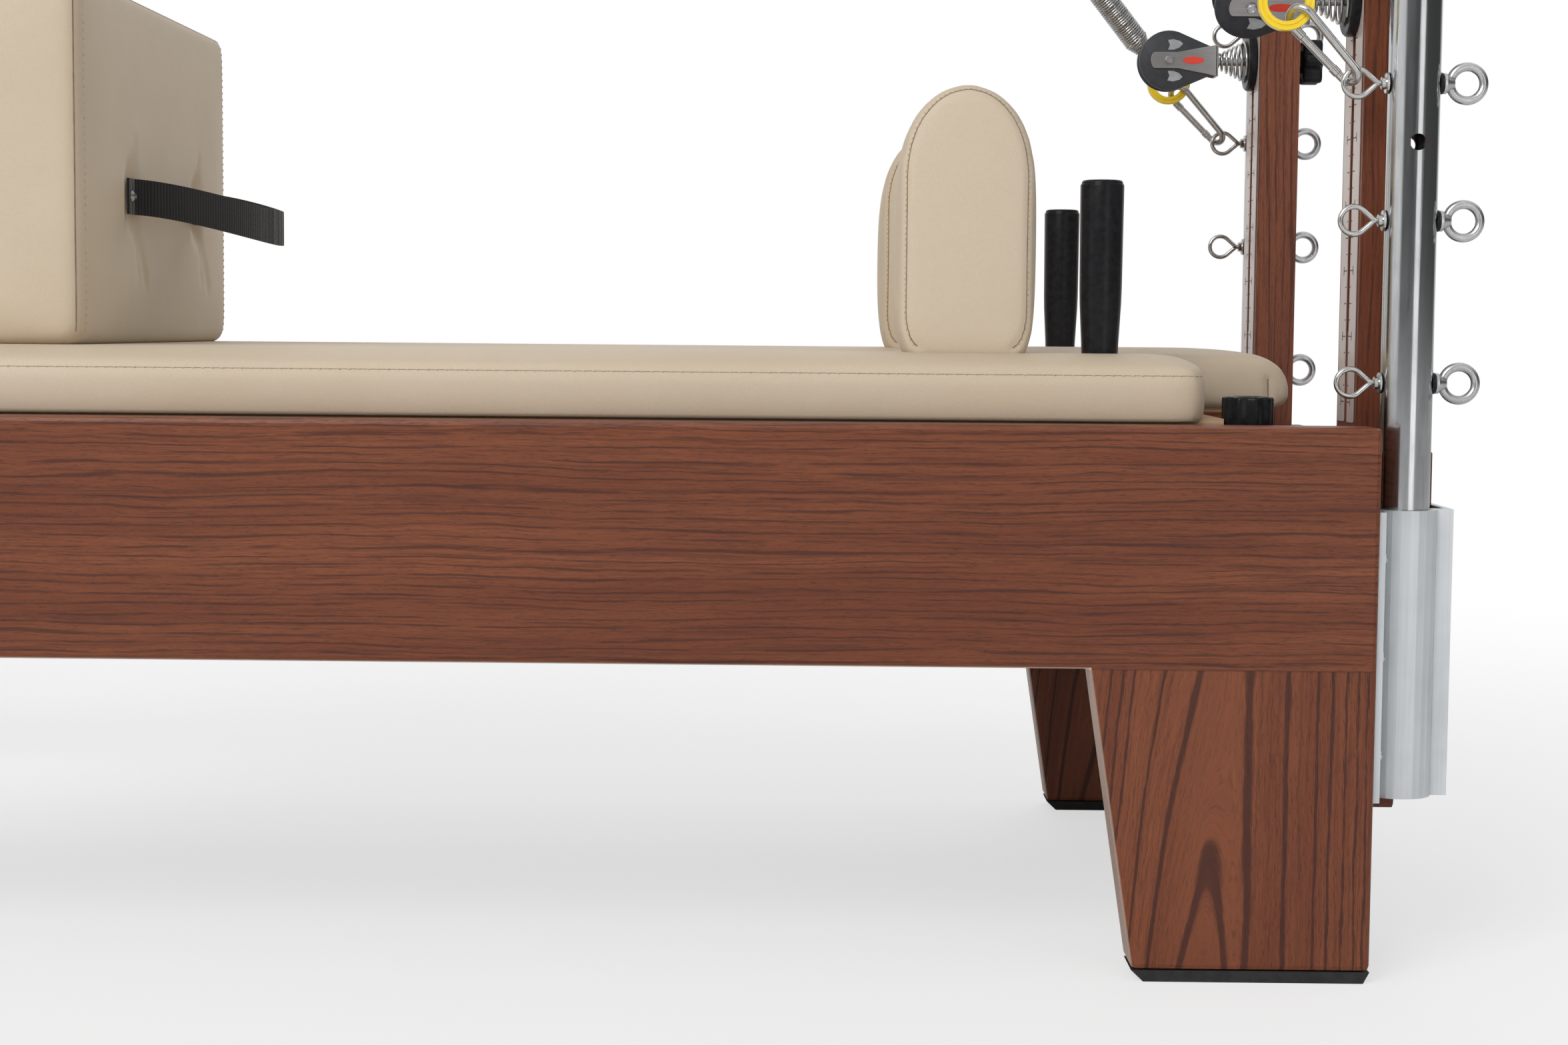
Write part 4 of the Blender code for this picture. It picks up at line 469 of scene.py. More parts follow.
def oak(name, grain):
    """Red-stained oak under a satin varnish.

    The grain is X, Y or Z, or frame: along each rail and down each leg, with the marks of its glued joints, and
    with painted highlights as pale lines along the rails' lower edges and the legs' sloping edges.
    """
    made = Finish(name, "stained_oak", roughness=0.42, specular_ior_level=0.3,
                  coat_weight=0.08, coat_roughness=0.25)
    x, y, z = made.x, made.y, made.z
    whole = 1.0
    along, across, deep = {"Y": (y, z, x), "Z": (z, x, y)}.get(grain, (x, z, y))
    if grain == "frame":
        leg = made.maths("LESS_THAN", z, RAIL_BOTTOM)
        inset = made.maths("MINIMUM", HEAD_X - x, x - FOOT_X)
        fan = (z - RAIL_BOTTOM) * (inset.eased(0.095, 0.125) * 0.22 - inset.eased(0.135, 0.190) * 0.12)
        along, across = chosen(leg, x, z), chosen(leg, z, inset + fan)
        whole = chosen(leg, 1.0, 0.35)
    drift = (made.noise(made.vector(along * 5.0, across * 9.0, deep)) - 0.5) * 0.010
    waver = (made.noise(made.vector(along * 34.0, across * 60.0, deep)) - 0.5) * 0.0022
    across = across + drift + waver

    def layer(length, width, detail, roughness=0.55):
        """Noise with a grain of a length and width in metres."""
        place = made.vector(along / length, across / width, deep / width)
        return made.noise(place, detail=detail, roughness=roughness)

    broad = layer(0.55, 0.032, 3)
    fibres = layer(0.030, 0.0012, 3, 0.7)
    streaks = layer(0.150, 0.0030, 3, 0.6).eased(0.535, 0.640)
    pores = layer(0.0085, 0.0006, 2, 0.6).eased(0.56, 0.70)
    spread = (layer(0.42, 0.020, 2) - 0.5) * 2.6
    broken = layer(0.055, 0.0045, 3, 0.6).eased(0.36, 0.56)
    rings = (across / 0.0072 + spread).repeated(1.0).near(0.5, 0.17) * broken * whole
    faint = layer(0.070, 0.009, 2).eased(0.45, 0.62)
    thin = (across / 0.0031 + spread * 1.7).repeated(1.0).near(0.5, 0.20) * faint
    coats = [
        (broad.eased(0.30, 0.70), (0.222, 0.066, 0.0260)),
        (fibres.eased(0.35, 0.70) * 0.46, (0.102, 0.027, 0.0120)),
        (thin * whole * 0.42, (0.080, 0.021, 0.0105)),
        (streaks * whole * 0.45, (0.075, 0.020, 0.0105)),
        (rings * 0.74, (0.056, 0.0150, 0.0090)),
        (pores * 0.50, (0.040, 0.011, 0.0070)),
    ]
    if grain == "frame":
        bold = 0.0
        fray = (layer(0.018, 0.0008, 3, 0.7) - 0.5) * 0.0046
        for level, reach in LEG_LINES:
            bold = made.maths("MAXIMUM", bold, wavy_line(made, inset + fan + fray, z, level, reach))
        under_rail = made.maths("GREATER_THAN", inset, LEG_TOP - 0.001)
        over_leg = made.maths("LESS_THAN", inset, LEG_TOP - 0.001)
        slope = inset - LEG_FOOT - (z - LEG_LOW) * LEG_SLOPE
        coats += [
            (inset.near(0.118, 0.034) * leg * 0.45, (0.215, 0.066, 0.028)),
            (bold * leg * 0.82, (0.046, 0.0125, 0.008)),
            # painted highlight: a pale line along the rail's lower edge, where no leg stands under it
            (z.near(RAIL_BOTTOM, 0.0016) * under_rail, (0.60, 0.47, 0.40)),
            (z.near(RAIL_BOTTOM, 0.0011) * over_leg * 0.4, (0.030, 0.010, 0.007)),
            # painted highlight: a pale line along each leg's sloping outer edge
            (slope.near(0.0, 0.0018) * leg * 0.8, (0.50, 0.36, 0.29)),
        ]
    made.coloured((0.158, 0.041, 0.0155), *coats)
    return made.relief(fibres * 0.4 - pores * 0.9 - rings * 0.3, 0.00030, 0.6)


def wavy_line(made, across, along, level, reach):
    """A dark growth line that wanders, and swells and thins, along the grain."""
    drift = (made.noise(made.vector(along, 0.0, level * 40), scale=9, detail=3) - 0.5) * 0.006
    swell = made.noise(made.vector(along, 0.5, level * 70), scale=16, detail=3, roughness=0.7) * 1.5 + 0.3
    return ((across + drift - level).size() / swell).eased(reach * 1.2, reach * 0.45)


def leather(name):
    """Matt upholstery leathercloth with a fine pebble, with painted shade making it a little darker in its
    hollows.
    """
    made = Finish(name, "beige_leather", roughness=0.56, specular_ior_level=0.35, sheen_weight=0.06)
    pebble = made.cells(made.place, 1500)
    cloud = made.noise(made.place, 5, 3)
    soft = made.noise(made.place, 42, 3)
    tone = (0.590, 0.490, 0.368)
    warm = tuple(part * share for part, share in zip(tone, (0.93, 0.91, 0.88)))
    made.coloured(
        tone,
        (cloud.eased(0.35, 0.70) * 0.7, warm),
        # painted shade: a little darker in the pebble's hollows
        (pebble.eased(0.25, 0.75) * 0.10, (0.30, 0.235, 0.17)),
    )
    made.feed("Roughness", soft * 0.10 + 0.50)
    made.relief(soft, 0.0016, 0.25)
    return made.relief(pebble, 0.00022, 0.5)


def plain(name, slot, dark, light, scale, depth, roughness, **shader):
    """A moulded or enamelled finish: two near tones in patches, with a fine relief of a depth in metres."""
    made = Finish(name, slot, roughness=roughness, **shader)
    patches = made.noise(made.place, scale * 0.12, 3)
    grain = made.noise(made.place, scale, 3, 0.6)
    made.coloured(dark, (patches.eased(0.35, 0.65) * 0.6 + grain * 0.4, light))
    made.feed("Roughness", grain * 0.12 + (roughness - 0.06))
    return made.relief(grain, depth, 0.5)


def metal(name, slot, tone, roughness, lines, streak=0.25, metallic=1.0):
    """Bright metal with fine lines along its length and faint smears."""
    made = Finish(name, slot, metallic=metallic, roughness=roughness)
    fine = made.noise(made.stretched(*lines), 1.0, 4, 0.6)
    smear = made.noise(made.place, 14, 4, 0.6)
    dull = tuple(part * (1 - streak) for part in tone)
    made.coloured(tone, (fine.eased(0.3, 0.7) * 0.5 + smear.eased(0.45, 0.7) * 0.5, dull))
    made.feed("Roughness", fine * roughness * 0.7 + smear * 0.06 + roughness * 0.5)
    return made.relief(fine, 0.00003, 0.3)


def webbing(name):
    """Woven nylon tape: ribs of 3 mm across its run, and a fine weave of 1.2 mm up its width, lighter on their
    crests as a painted highlight.
    """
    made = Finish(name, "black_webbing", roughness=0.85, sheen_weight=0.25)
    rib = made.maths("SINE", (made.x - made.y.size()) * (2 * math.pi / 0.0030))
    fine = made.maths("SINE", made.z * (2 * math.pi / 0.0012))
    weave = rib * 0.6 + fine * 0.15
    fluff = made.noise(made.place, 900, 2)
    # painted highlight: the ribs and weave lighter on their crests; the fluff is a random lighter tone of the
    # tape
    made.coloured((0.004, 0.004, 0.005), (weave.eased(-0.5, 0.8) * 0.7 + fluff * 0.3, (0.030, 0.030, 0.032)))
    return made.relief(weave, 0.0004, 0.9)


def plywood(name):
    """Birch plywood: plies on its edges, soft grain on its faces, and zinc on what is screwed under it."""
    made = Finish(name, "birch_plywood", roughness=0.55)
    ply = made.z.repeated(0.0032).near(0.5, 0.5)
    grain = made.noise(made.stretched(6, 120, 500), 1.0, 4, 0.6)
    under = made.maths("LESS_THAN", made.z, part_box("carriage_base")[1].z - 0.0260)
    made.coloured(
        (0.52, 0.355, 0.205),
        (grain.eased(0.3, 0.7) * 0.6, (0.42, 0.26, 0.135)),
        (ply.eased(0.4, 0.9) * 0.35, (0.30, 0.17, 0.085)),
        (under, (0.62, 0.62, 0.63)),
    )
    made.feed("Metallic", under)
    made.feed("Roughness", 0.55 - under * 0.2)
    return made.relief(grain, 0.0002, 0.5)


OAK_FRAME = oak("oak_rails_and_legs", "frame")
OAK_ACROSS = oak("oak_cross_boards", "Y")
OAK_UPRIGHT = oak("oak_posts", "Z")
LEATHER = leather("beige_leather_cover")
THREAD = plain("beige_thread", "beige_leather", (0.42, 0.33, 0.235), (0.66, 0.56, 0.42), 2500, 0.0001, 0.6)
# painted shade: the dark tone of the lines laid in seams and creases of the covers
SEAM_SHADE = plain("painted_seam_shade", "beige_leather", (0.16, 0.115, 0.075), (0.27, 0.20, 0.135), 900, 0.0001, 0.7)
RUBBER = plain("moulded_rubber", "black_rubber", (0.010, 0.009, 0.009), (0.022, 0.021, 0.021),
               1200, 0.0001, 0.72)
PLASTIC = plain("moulded_plastic", "black_plastic", (0.008, 0.008, 0.009), (0.017, 0.017, 0.019), 1500, 0.00004,
                0.28, specular_ior_level=0.16)
CHEEK = plain("pulley_cheek_plastic", "black_plastic", (0.022, 0.024, 0.030), (0.036, 0.038, 0.045),
              1400, 0.00006, 0.42)
FIN = plain("grey_plastic", "black_plastic", (0.30, 0.31, 0.32), (0.38, 0.39, 0.40), 1400, 0.00005, 0.45)
NYLON = plain("white_nylon", "white_nylon", (0.70, 0.71, 0.72), (0.80, 0.81, 0.82), 700, 0.00004, 0.35)
YELLOW = plain("yellow_ring_enamel", "yellow_enamel", (0.86, 0.60, 0.018), (0.92, 0.68, 0.030), 300, 0.00004,
               0.30, coat_weight=0.4)
RED = plain("red_enamel", "yellow_enamel", (0.66, 0.040, 0.020), (0.76, 0.060, 0.028), 300, 0.00004, 0.4)
FOAM = plain("grip_foam", "black_foam", (0.010, 0.010, 0.011), (0.030, 0.030, 0.032), 900, 0.0006, 0.92)
BLACK_STEEL = plain("powder_coated_steel", "black_steel", (0.012, 0.012, 0.013), (0.028, 0.028, 0.030),
                    1600, 0.0001, 0.45)
SCALE = plain("clear_scale_strip", "white_nylon", (0.47, 0.385, 0.355), (0.56, 0.475, 0.445), 60, 0.00005, 0.3)
MARKS = plain("scale_ink", "black_plastic", (0.020, 0.014, 0.014), (0.035, 0.025, 0.025), 800, 0.00001, 0.6)
STEEL = metal("polished_steel_tube", "polished_steel", (0.60, 0.61, 0.62), 0.15, (300, 300, 30))
WIRE = metal("bright_steel_wire", "polished_steel", (0.60, 0.595, 0.58), 0.22, (160, 160, 160))
SPRING = metal("spring_wire", "polished_steel", (0.52, 0.515, 0.50), 0.26, (160, 160, 160))
ZINC = metal("zinc_plated_steel", "zinc_steel", (0.62, 0.62, 0.63), 0.32, (200, 200, 200))
STRAP_STEEL = metal("brushed_strap_steel", "zinc_steel", (0.47, 0.465, 0.46), 0.34, (40, 500, 500))
ALUMINIUM = metal("satin_aluminium", "satin_aluminium", (0.66, 0.69, 0.71), 0.42, (420, 420, 8), 0.15, 0.45)
WEBBING = webbing("ribbed_webbing")
PLYWOOD = plywood("carriage_plywood")


def painted(piece, finish):
    piece.data.materials.clear()
    piece.data.materials.append(finish.material)


def dress(piece, finish, body, *replaced):
    """Gives a piece its finish and the body that carries it, and hides the CAD nodes that it stands for."""
    painted(piece, finish)
    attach(piece, body)
    if replaced:
        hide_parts(*replaced)
    return piece


def both(word):
    return tuple(f"{word}_{side}" for _, side in SIDES)


def refinish_nodes():
    """Finishes for the CAD nodes whose shapes stay."""
    for finish, nodes in (
        (OAK_FRAME, both("side_frame")),
        (OAK_ACROSS, ("head_end_board", "foot_end_board", "crossboard", "standing_platform", "spring_rack")),
        (OAK_UPRIGHT, both("pulley_post")),
        (RUBBER, both("rubber_foot_head") + both("rubber_foot_foot")),
        (ALUMINIUM, both("tower_socket")),
        (PLYWOOD, ("carriage_base", "headrest_board")),
        (ZINC, ("spring_bar",)),
        (BLACK_STEEL, both("footbar_plate")),
        (PLASTIC, ("footbar_pin",)),
    ):
        for node in nodes:
            for slot in NODES[node].material_slots:
                slot.material = finish.material


def make_hand_posts():
    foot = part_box("carriage_pad")[1].z - 0.0015
    for _, side in SIDES:
        low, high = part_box(f"hand_post_{side}")
        top, tall = high.z, high.z - foot
        waist = ((0.0160, 0.60), (0.0157, 0.69), (0.0149, 0.80), (0.0141, 0.91))
        profile = [(0, top), (0.0128, top), (0.0146, top - 0.0004), (0.0155, top - 0.0016),
                   (0.0157, top - 0.0030), (0.0163, top - 0.0034), (0.0165, top - 0.0046),
                   *((radius, top - tall * share) for radius, share in waist),
                   (0.0137, foot + 0.0005), (0.0048, foot + 0.0003), (0.0048, low.z), (0, low.z)]
        middle = ((low.x + high.x) / 2, (low.y + high.y) / 2, 0)
        post = turned(f"hand_grip_post_{side}", profile, middle, sides=64, crease=25)
        dress(post, PLASTIC, "carriage", f"hand_post_{side}")


def make_tracks():
    """Each aluminium track, and the knurled stop that stands in it for the carriage to come up against."""
    wall, lip, web, stop_y = 0.003, 0.004, 0.076, 0.2835
    for sign, side in SIDES:
        low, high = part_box(f"track_{side}")
        near, far = sorted((abs(low.y), abs(high.y)))
        base, ledge, top = low.z, low.z + 0.008, high.z
        outline = [(far, base), (far, base + web), (far - wall, base + web), (far - wall, ledge),
                   (near + wall, ledge), (near + wall, ledge + lip), (near, ledge + lip), (near, ledge - lip),
                   (far - wall, ledge - lip), (far - wall, base)]
        outline = [(sign * y, z) for y, z in outline]
        track = board(f"wheel_track_{side}", outline, low.x, high.x, "YZ", 0.0004, 1)
        dress(track, ALUMINIUM, "frame", f"track_{side}")
        cap = board("cap", lobed(0.0195, 0.0011, 9), top - 0.022, top, "XY", 0.0022, 3)
        dish = turned("dish", [(0, top + 0.0004), (0.0105, top + 0.0004), (0.0115, top - 0.0004),
                               (0.0115, top - 0.001), (0, top - 0.001)], sides=32)
        post = turned("post", [(0, top - 0.021), (0.0178, top - 0.021), (0.0178, ledge + GAP),
                               (0, ledge + GAP)])
        place = Matrix.Translation((HEAD_X - 0.085, sign * stop_y, 0))
        stop = moved(joined(f"carriage_stop_{side}", [cap, dish, post]), place)
        dress(stop, PLASTIC, "frame", f"track_{side}")


def make_wheels():
    for end in ("foot", "head"):
        for _, side in SIDES:
            node = f"wheel_{end}_{side}"
            low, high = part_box(node)
            middle, half, radius = (low + high) / 2, (high.y - low.y) / 2, (high.z - low.z) / 2
            rim = radius * 0.72
            tread = [(rim, half), (radius - 0.0035, half), (radius - 0.001, half - 0.0010),
                     (radius, half - 0.0035)]
            tyre = turned(f"wheel_tyre_{end}_{side}", [*tread, *mirrored(tread), tread[0]], middle, Y)
            dress(tyre, RUBBER, f"{end}_wheels", node)
            disc = [(0.0044, half - 0.0012), (0.0075, half - 0.0006), (0.0078, half - 0.0026),
                    (rim - 0.002, half - 0.0030), (rim - GAP, half - 0.0012)]
            hub = turned(f"wheel_hub_{end}_{side}", [*disc, *mirrored(disc), disc[0]], middle, Y)
            dress(hub, NYLON, f"{end}_wheels", node)


def make_tower_tube():
    bend, wall, hole_z, hole_radius = 0.120, 0.002, 0.611, 0.006
    low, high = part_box("tower_socket_left")[0].z + 0.004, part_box("tower_frame")[1].z - TUBE_RADIUS
    path = arch(TOWER_Y, low, high, bend, lambda u, v: Vector((TOWER_X, u, v)))
    drill = [(0, 0.05), (hole_radius, 0.05), (hole_radius, -0.05), (0, -0.05)]
    tube = carved(
        swept("tower_tube", path, TUBE_RADIUS, 48),
        swept("bore", [path[0] - Z * 0.01, *path, path[-1] - Z * 0.01], TUBE_RADIUS - wall, 40),
        *(turned("hole", drill, (TOWER_X, sign * TOWER_Y, hole_z), Y, 32) for sign in WAYS),
    )
    dress(tube, STEEL, "frame", "tower_frame")


def make_eyes():
    """Bent eye bolts on the tower's inner side and cast eye nuts on its outer side, at each level."""
    face, back = TOWER_X - TUBE_RADIUS, TOWER_X + TUBE_RADIUS
    neck = 0.0165  # from the ring's middle to where its ends meet
    tangent = math.degrees(math.acos(EYE_RADIUS / neck))
    loop = arc(EYE_X, 0, EYE_RADIUS, tangent, 360 - tangent, 30)
    loop += [(EYE_X + (neck - 0.0022), v) for v in (-0.0008, 0.0008)]
    shank_x = EYE_X + neck - 0.004
    reach, threads = face - shank_x, 9
    shank = [(0, 0.0), (0.0022, 0.0)]
    for i in range(threads):
        at = reach * (0.30 + 0.60 * i / threads)
        shank += [(0.0023, at), (0.0019, at + reach * 0.03)]
    shank += [(0.0022, reach * 0.94), (0.0022, reach + 0.001), (0, reach + 0.001)]
    lock_nut = [(0, face - 0.0052), (0.0040, face - 0.0052), (0.0046, face - 0.0048), (0.0046, face - 0.0024),
                (0.0072, face - 0.0020), (0.0078, face - 0.0014), (0.0078, face - 0.0002), (0, face + 0.001)]
    nut_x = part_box("tower_frame")[1].x - 0.0155
    foot, end = back + 0.0014, nut_x - 0.0110
    collar = [(0, foot), (0.0070, foot), (0.0076, foot + 0.0006), (0.0076, foot + (end - foot) * 0.35),
              (0.0062, foot + (end - foot) * 0.62), (0.0054, end), (0.0040, end + 0.0015), (0, end + 0.0015)]
    washer = [(0, foot), (0.0072, foot), (0.0080, back + 0.0009), (0.0080, back - 0.0012), (0, back - 0.0012)]
    for sign, side in SIDES:
        bolts, nuts, washers = [], [], []
        for z in EYE_LEVELS:
            place = Vector((0, sign * TOWER_Y, z))
            bolts += [swept("ring", upright(place, loop), EYE_WIRE, 12, closed=True),
                      turned("stem", shank, place + X * shank_x, X, 16), turned("nut", lock_nut, place, X, 24)]
            nuts += [swept("cast", upright(place, arc(nut_x, 0, 0.0122, 0, 350, 35)), 0.0033, closed=True),
                     turned("collar", collar, place, X, 32)]
            washers.append(turned("washer", washer, place, X, 32))
        dress(joined(f"eye_bolts_{side}", bolts), WIRE, "frame", "tower_frame")
        dress(joined(f"eye_nuts_{side}", nuts), ZINC, "frame", "tower_frame")
        dress(joined(f"eye_nut_washers_{side}", washers), PLASTIC, "frame", "tower_frame")


def make_bar_pivots():
    """What the push-through bar swings on: a spacer off the tower's tube, a bolt and a domed nut."""
    arm = BAR_HALF_SPAN + BAR_RADIUS + GAP
    nut = BAR_HALF_SPAN - BAR_RADIUS - GAP
    wall = TOWER_Y - TUBE_RADIUS + 0.001
    place = Vector((TOWER_X, 0, PIVOT.z))
    for sign, side in SIDES:
        out = sign * Y
        spacer = turned("spacer", [(0, wall), (0.0094, wall), (0.0100, wall - 0.002), (0.0100, arm + 0.001),
                                   (0.0092, arm), (0, arm)], place, out)
        bolt = turned("bolt", [(0, wall), (0.0059, wall), (0.0059, nut - 0.002), (0, nut - 0.002)], place, out)
        hexagon = board("hexagon", arc(0, 0, 0.0100, 0, 300, 5), nut - 0.0058, nut - GAP, "XY", 0.0006)
        hexagon = moved(hexagon, Matrix.Translation(place) @ turn_between(Z, out))
        dome = turned("dome", arc(0, nut - 0.0050, 0.0075, 0, -90, 8, 0.0052), place, out)
        dress(joined(f"bar_pivot_{side}", [spacer, bolt, hexagon, dome]), ZINC, "frame", "tower_frame")


def make_socket_screws():
    """Pan-head screws through the sockets' flanges into the rails' ends and the cross board."""
    rail_y = RAIL_OUTER - 0.0335
    for sign, side in SIDES:
        low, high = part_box(f"tower_socket_{side}")
        outer_x, inner_x = high.x, low.x + 0.005
        near, far = sorted((abs(low.y), abs(high.y)))
        edge_out, edge_in = far - 0.0085, near + 0.016
        screws = []
        for share in (0.16, 0.5, 0.84):
            z = low.z + (high.z - low.z) * share
            for x, y in ((outer_x, edge_in), (outer_x, edge_in + 0.045),
                         (inner_x, edge_out), (inner_x, rail_y)):
                head = [(0, x + 0.0012), (0.0013, x + 0.0012), (0.0016, x + 0.0030), (0.0026, x + 0.0029),
                        (0.0040, x + 0.0017), (0.0042, x + GAP), (0, x + GAP)]
                screws.append(turned("screw", head, (0, sign * y, z), X, 24))
        dress(joined(f"socket_screws_{side}", screws), ZINC, "frame")


def make_scales():
    """Clear strips beside the slot of each pulley post, with a mark every 12.5 mm and a long one every 50."""
    bottom, first_mark, pitch, slot_half, strip_edge = 0.405, 0.42, 0.0125, 0.0046, 0.0285
    lengths = (0.0105, 0.004, 0.0075, 0.004)
    for side in ("left", "right"):
        low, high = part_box(f"pulley_post_{side}")
        middle = (low.y + high.y) / 2
        face = low.x - GAP
        strips, marks = [], []

        def mark(ends, foot, top):
            a, b = sorted(ends)
            outline = [(a, foot), (b, foot), (b, top), (a, top)]
            marks.append(board("mark", outline, face - 0.00075, face - 0.00062, "YZ"))

        for way in WAYS:
            inner, outer = middle + way * (slot_half + 0.001), middle + way * strip_edge
            outline = rectangle(*sorted((inner, outer)), bottom, high.z - 0.012, 0.0015)
            strips.append(board("strip", outline, face - 0.0006, face, "YZ"))
            for i in range(int((high.z - first_mark - 0.02) / pitch)):
                z = first_mark + pitch * i
                tick = inner + way * lengths[i % 4]
                mark((inner, tick), z, z + 0.0007)
                if i % 4 == 0:
                    mark((tick, tick + way * 0.0008), z - 0.003, z + 0.0037)
        dress(joined(f"post_scale_{side}", strips), SCALE, "frame")
        dress(joined(f"scale_marks_{side}", marks), MARKS, "frame")


def hooked():
    """The eye and the yellow ring that the snap hook joins on each side, and the line between them."""
    for sign, side in SIDES:
        ring_low, ring_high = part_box(f"spring_ring_{side}")
        ring = (ring_low + ring_high) / 2
        eye = Vector((EYE_X, sign * TOWER_Y, EYE_LEVELS[2]))
        yield side, eye, ring, (ring - eye).normalized()


def make_hooks_and_rings():
    turn = math.radians(40)
    half = 0.0035
    face = [(0.0142, -half), (0.0164, -half), (0.0168, 0.0008 - half), (0.0176, 0.0008 - half), (0.0180, -half),
            (0.0200, -half), (0.0205, 0.0006 - half)]
    profile = [*face, *mirrored(face), (0.0135, half - 0.001), (0.0135, 0.001 - half), face[0]]
    for side, eye, ring, line in hooked():
        low, high = eye + line * EYE_RADIUS, ring - line * RING_HOLD
        across = math.cos(turn) * Y + math.sin(turn) * line.cross(Y)
        points = [around(centre, radius, math.radians(start + 7.5 * i), across, line)
                  for centre, radius, start in ((low, 0.0074, 180), (high, 0.0100, 0)) for i in range(25)]
        gate_foot, gate_top = low + across * 0.0076 + line * 0.004, high + across * 0.0099 - line * 0.003
        way = (gate_top - gate_foot).normalized()
        parts = [swept("hook", points, 0.0030, 14, closed=True)]
        for start, places, radius in ((gate_top, (-0.0075, -0.007, 0.001, 0.0015), 0.0036),
                                      (gate_foot, (0, 0.0005, 0.006, 0.0065), 0.0035)):
            parts.append(swept("sleeve", [start + way * at for at in places], [0.0030, radius, radius, 0.0030]))
        dress(joined(f"spring_hook_{side}", parts), WIRE, "frame", f"snap_hook_{side}")
        dress(turned(f"yellow_ring_{side}", profile, ring, Y, 64), YELLOW, "frame", f"spring_ring_{side}")


def push_eye(side, ring):
    """The middle of the eye on the push-through bar that the spring from a ring hooks into."""
    sign = -1 if side == "left" else 1
    corner = PIVOT + Vector((-BAR_REACH * math.sin(BAR_LEAN), sign * (BAR_HALF_SPAN - BAR_BEND),
                             -BAR_REACH * math.cos(BAR_LEAN)))
    return corner + (ring - corner).normalized() * (BAR_RADIUS + EYE_RADIUS)


def make_tower_springs():
    """Each runs from its yellow ring to the eye on the push-through bar, with hooked ends and tapered necks."""
    radius, wire, pitch = 0.012, 0.00115, 0.0024
    for side, _, ring, _ in hooked():
        eye = push_eye(side, ring)
        flat = Vector((eye.x - ring.x, 0, eye.z - ring.z)).normalized()
        holds = (ring + flat * RING_HOLD, eye - flat * EYE_RADIUS)
        line = (holds[1] - holds[0]).normalized()
        parts, ends = [], []
        for hold, radial, reach in ((holds[0], flat, line), (holds[1], -flat, -line)):
            foot = hold + reach * 0.028
            loop = [around(hold, 0.0062, math.radians(230 - 260 * i / 24), Y, -radial) for i in range(25)]
            parts.append(swept("hook", [foot + reach * 0.004, foot - reach * 0.006, *loop], 0.0016, 10))
            ends.append(foot + reach * 0.008)
            parts.append(coil("neck", foot - reach * 0.012, ends[-1], (0.0035, 0.0115), 0.0011, 8))
        turns = (ends[1] - ends[0]).length / pitch
        parts.append(coil("coil", *ends, (radius - wire, radius - wire), wire, turns, 14, 6))
        spring = joined(f"tower_coil_{side}", parts, 60)
        painted(spring, SPRING)
        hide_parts(f"tower_spring_{side}")
        tuple(holds[0] + line * 0.02)
        tuple(holds[1] - line * 0.02)
        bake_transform(spring)


def make_push_bar():
    down = Vector((-math.sin(BAR_LEAN), 0, -math.cos(BAR_LEAN)))
    path = arch(BAR_HALF_SPAN, -0.030, BAR_REACH, BAR_BEND, lambda u, v: PIVOT + Y * u + down * v)
    parts = [swept("bar", path, BAR_RADIUS, 40)]
    for side, _, ring, _ in hooked():
        loop = upright(push_eye(side, ring), arc(0, 0, EYE_RADIUS, 0, 348, 29))
        parts.append(swept("eye", loop, EYE_WIRE, 12, closed=True))
    cap = [(0, 0.0015), (0.0100, 0.0015), (0.0124, 0), (0, 0)]
    caps = [turned("cap", cap, path[i], -down, 32) for i in (0, -1)]
    dress(joined("push_through_tube", parts), STEEL, "push_through_bar", "push_bar")
    dress(joined("push_through_end_caps", caps), PLASTIC, "push_through_bar", "push_bar")


def make_pulleys():
    half, radius, groove = 0.006, 0.0240, 0.005
    rim = [(0.0044, half), (radius - 0.0005, half), (radius, half - 0.0006)]
    hollow = [(radius - groove * math.cos(a), (half - 0.0012) * math.sin(a))
              for a in (math.radians(90 - 15 * i) for i in range(13))]
    for _, side in SIDES:
        joint = JOINTS[f"sheave_spin_{side}"]
        centre = Vector(joint["pos_m"])
        turn = Matrix.Translation(centre) @ turn_between(Y, Vector(joint["axis"]))
        wheel = turned(f"rope_sheave_{side}", [*rim, *hollow, *mirrored(rim), rim[0]], axis=Y, sides=64)
        dress(moved(wheel, turn), NYLON, f"sheave_body_{side}", f"sheave_{side}")
        make_block(side, turn)
        make_clamp(side, centre)
        make_knob(side, centre)


def plate(face, near, far, outline, rounding=0.0, steps=1):
    """A plate that stands between two distances from the sheave's middle, on the face's side."""
    return board("plate", outline, *sorted((face * near, face * far)), "XZ", rounding, steps)


